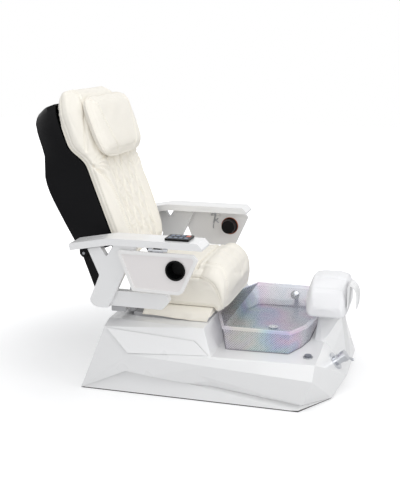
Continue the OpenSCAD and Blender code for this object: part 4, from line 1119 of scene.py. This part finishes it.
# %% [markdown]
# ## The pillow
# The head pillow is a box cushion: a front panel, a band round it and a thinner pad behind,
# with a piped edge. Two sewn lines shape its front. It is soft, so its fill is lower.

# %% Pillow
pillow = cover("pillow", "pillow_cover", tuple(out_back), 0.004, voxel=0.005, pressure=4.5,
               cap=0.010)
co, _ = points(pillow)
s, y, t = in_back_plane(co)
pillow_rear, pillow_front = float(t.min()), float(t.max())
# The front panel is a dome: it falls back towards the piping all round.
reach = np.minimum(0.25 - np.abs(y), np.minimum(s - s.min(), s.max() - s))
dome = 0.009 * (1 - ramp_up(reach, 0.0, 0.060)) * ramp_up(t, pillow_rear + 0.020,
                                                         pillow_front - 0.008)
hang = 0.009 * ramp_up(-s, -0.68, -0.54)
put_points(pillow, co - out_back * dome[:, None] - up_back * hang[:, None])
co, normal = points(pillow)
s, y, t = in_back_plane(co)
facing = ramp_up(normal @ out_back, 0.1, 0.5)
pillow_seam = curved([(0.775, 0.205), (0.743, 0.190), (0.690, 0.178), (0.632, 0.162),
                      (0.579, 0.143), (0.545, 0.124), (0.512, 0.104)])
line_d = line_distance(s, np.abs(y), pillow_seam)
depth = sewn(line_d, 0.0032, 0.0045, 0.0012, 0.013, 0.008) * facing
sideways = 1 - ramp_up(np.abs(normal @ out_back), 0.45, 0.8)
depth -= 0.0045 * groove(t - pillow_rear - 0.017, 0.0060) * sideways
depth -= 0.0030 * groove(t - pillow_rear - 0.036, 0.0040) * (1 - facing)
depth += 0.0012 * np.sin(y * 38 + 1.1 * np.sin(s * 41)) * np.sin(s * 33 + 0.7) * facing
put_points(pillow, co + normal * depth[:, None])
dress(pillow, "pillow", "back", cream_hide)

# %% Pillow piping and stitches
pillow_skin = surface_of(pillow)
pillow_mid = from_back_plane(float(s.min() + s.max()) / 2, 0.0, 0.0)


def pillow_ring(level, lift):
    """A loop round the pillow at one depth, found by rays that point at its middle."""
    starts, ways = [], []
    count = 160
    for k in range(count):
        turn = 2 * math.pi * k / count
        way = np.array([0, math.cos(turn), 0]) + up_back * math.sin(turn)
        starts.append(pillow_mid + out_back * level + way * 0.5)
        ways.append(-way)
    return cast_path(pillow_skin, starts, ways, lift)


for name, ahead, lift, radius in (("pillow_piping", 0.028, 0.0016, 0.0042),
                                  ("pillow_rear_piping", 0.007, 0.0012, 0.0034)):
    ring = eased_path(pillow_ring(pillow_rear + ahead, lift), 3, True)
    piping(name, ring, radius, cream_piping, "back", closed=True)
pillow_rows = []
for sign in (-1, 1):
    for gap in (-0.005, 0.005):
        starts = [from_back_plane(a, sign * (b + gap), 0.4) for a, b in pillow_seam]
        pillow_rows.append(cast_along(pillow_skin, starts, -out_back))
stitches("pillow_stitches", pillow_rows, cream_thread, "back", radius=0.0008)

# %% [markdown]
# ## The footrest pad
# The footrest carries a wet foot, so its pad is skinned in a smooth white hide without piping.
# It arches from side to side and has two pressed lines across it.

# %% Footrest pad
foot = cover("footrest_pad", "footrest_cover", (0.0, 0.0, 1.0), 0.004, voxel=0.005, cap=0.006)
foot_low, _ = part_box("footrest_pad")
co, normal = points(foot)
x, y, z = co.T
level = ramp_up(z, foot_low.z + 0.012, foot_low.z + 0.03)
depth = np.zeros(len(co))
for line_y in (-0.060, 0.060):
    depth += sewn(np.abs(y - line_y), 0.0050, 0.0040, 0.0012, 0.011, 0.006) * level
depth -= 0.0026 * groove(np.abs(y) - 0.128, 0.0045) * level
put_points(foot, co + normal * depth[:, None])
dress(foot, "footrest_pad", body_of_node["footrest_pad"], white_hide)

# %% [markdown]
# ## Small fittings
# The cups have a copper-coloured rim where they come through the tray, and the bowl stands
# in the deck on a bead of grey sealant, whose grey is also painted shade for the gap round the
# bowl. Both are thin, but they draw the dark line that makes the joint look real. The bead
# follows the line where the deck's plane cuts the bowl.

# %% Copper rims
rim_radius = 0.0425
for side_name, sign in (("right", -1), ("left", 1)):
    cup_low, cup_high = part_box("cup_holder_" + side_name)
    tray_low, tray_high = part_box("tray_" + side_name)
    inner_y = tray_high.y if sign < 0 else tray_low.y
    middle_x, middle_z = (cup_low.x + cup_high.x) / 2, (cup_low.z + cup_high.z) / 2
    ring = []
    for k in range(72):
        turn = 2 * math.pi * k / 72
        spot = Vector((middle_x + rim_radius * math.cos(turn), inner_y - sign * 0.0012,
                       middle_z + rim_radius * math.sin(turn)))
        ring.append((spot, Vector((0, -sign, 0))))
    piping("cup_rim_" + side_name, ring, 0.0021, copper, body_of_node["tray_" + side_name],
           closed=True)
print("rims made")

# %% The catch that hangs from the left tray's hinge
leaf_low, leaf_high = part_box("tray_leaf_left")
catch_x, catch_y = (leaf_low.x + leaf_high.x) / 2, leaf_low.y - 0.0035
inward = Vector((0, -1, 0))
for name, radius, ends in (
        ("catch_stem", 0.0034, [(0.002, 0.642), (0.000, 0.622), (-0.003, 0.604), (-0.007, 0.582)]),
        ("catch_arm", 0.0030, [(-0.008, 0.592), (0.006, 0.600), (0.018, 0.610)]),
        ("catch_brace", 0.0028, [(0.002, 0.606), (0.010, 0.594), (0.020, 0.586)]),
        ("catch_tail", 0.0024, [(-0.007, 0.578), (-0.009, 0.566), (-0.008, 0.556)])):
    piping(name, [(Vector((catch_x + a, catch_y, b)), inward) for a, b in ends], radius,
           bright_steel, body_of_node["tray_left"])
print("catch at x", round(catch_x, 3))

# %% Sealant bead round the bowl, its grey partly painted shade
deck = solid_guide("base_shell")
bowl_tree = solid_guide("tub")
tub_low, tub_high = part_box("tub")


def deck_level(x, y):
    spot, _, _, _ = deck.ray_cast(Vector((x, y, 0.9)), Vector((0, 0, -1)))
    return spot.z if spot else math.inf


bead = []
middle_x = (tub_low.x + tub_high.x) / 2
start_level, top_level = 0.205, 0.30
for k in range(240):
    turn = 2 * math.pi * k / 240
    way = Vector((math.cos(turn), math.sin(turn), 0))
    level = start_level
    for _ in range(3):
        # The wall leans, so the height found at one ray sets the height of the next.
        spot, face, _, _ = bowl_tree.ray_cast(Vector((middle_x, 0, level)) + way * 0.7, -way)
        if spot is None:
            break
        level = deck_level(spot.x + way.x * 0.008, spot.y + way.y * 0.008) + 0.001
        if level > top_level + 0.001:
            spot = None
            break
    if spot is not None:
        bead.append((Vector((spot.x, spot.y, level)) + way * 0.0008, face))
print("bead points:", len(bead))
if len(bead) > 20:
    piping("bowl_bead", bead, 0.0018, sealant_and_shade_grey, body_of_node["tub"])
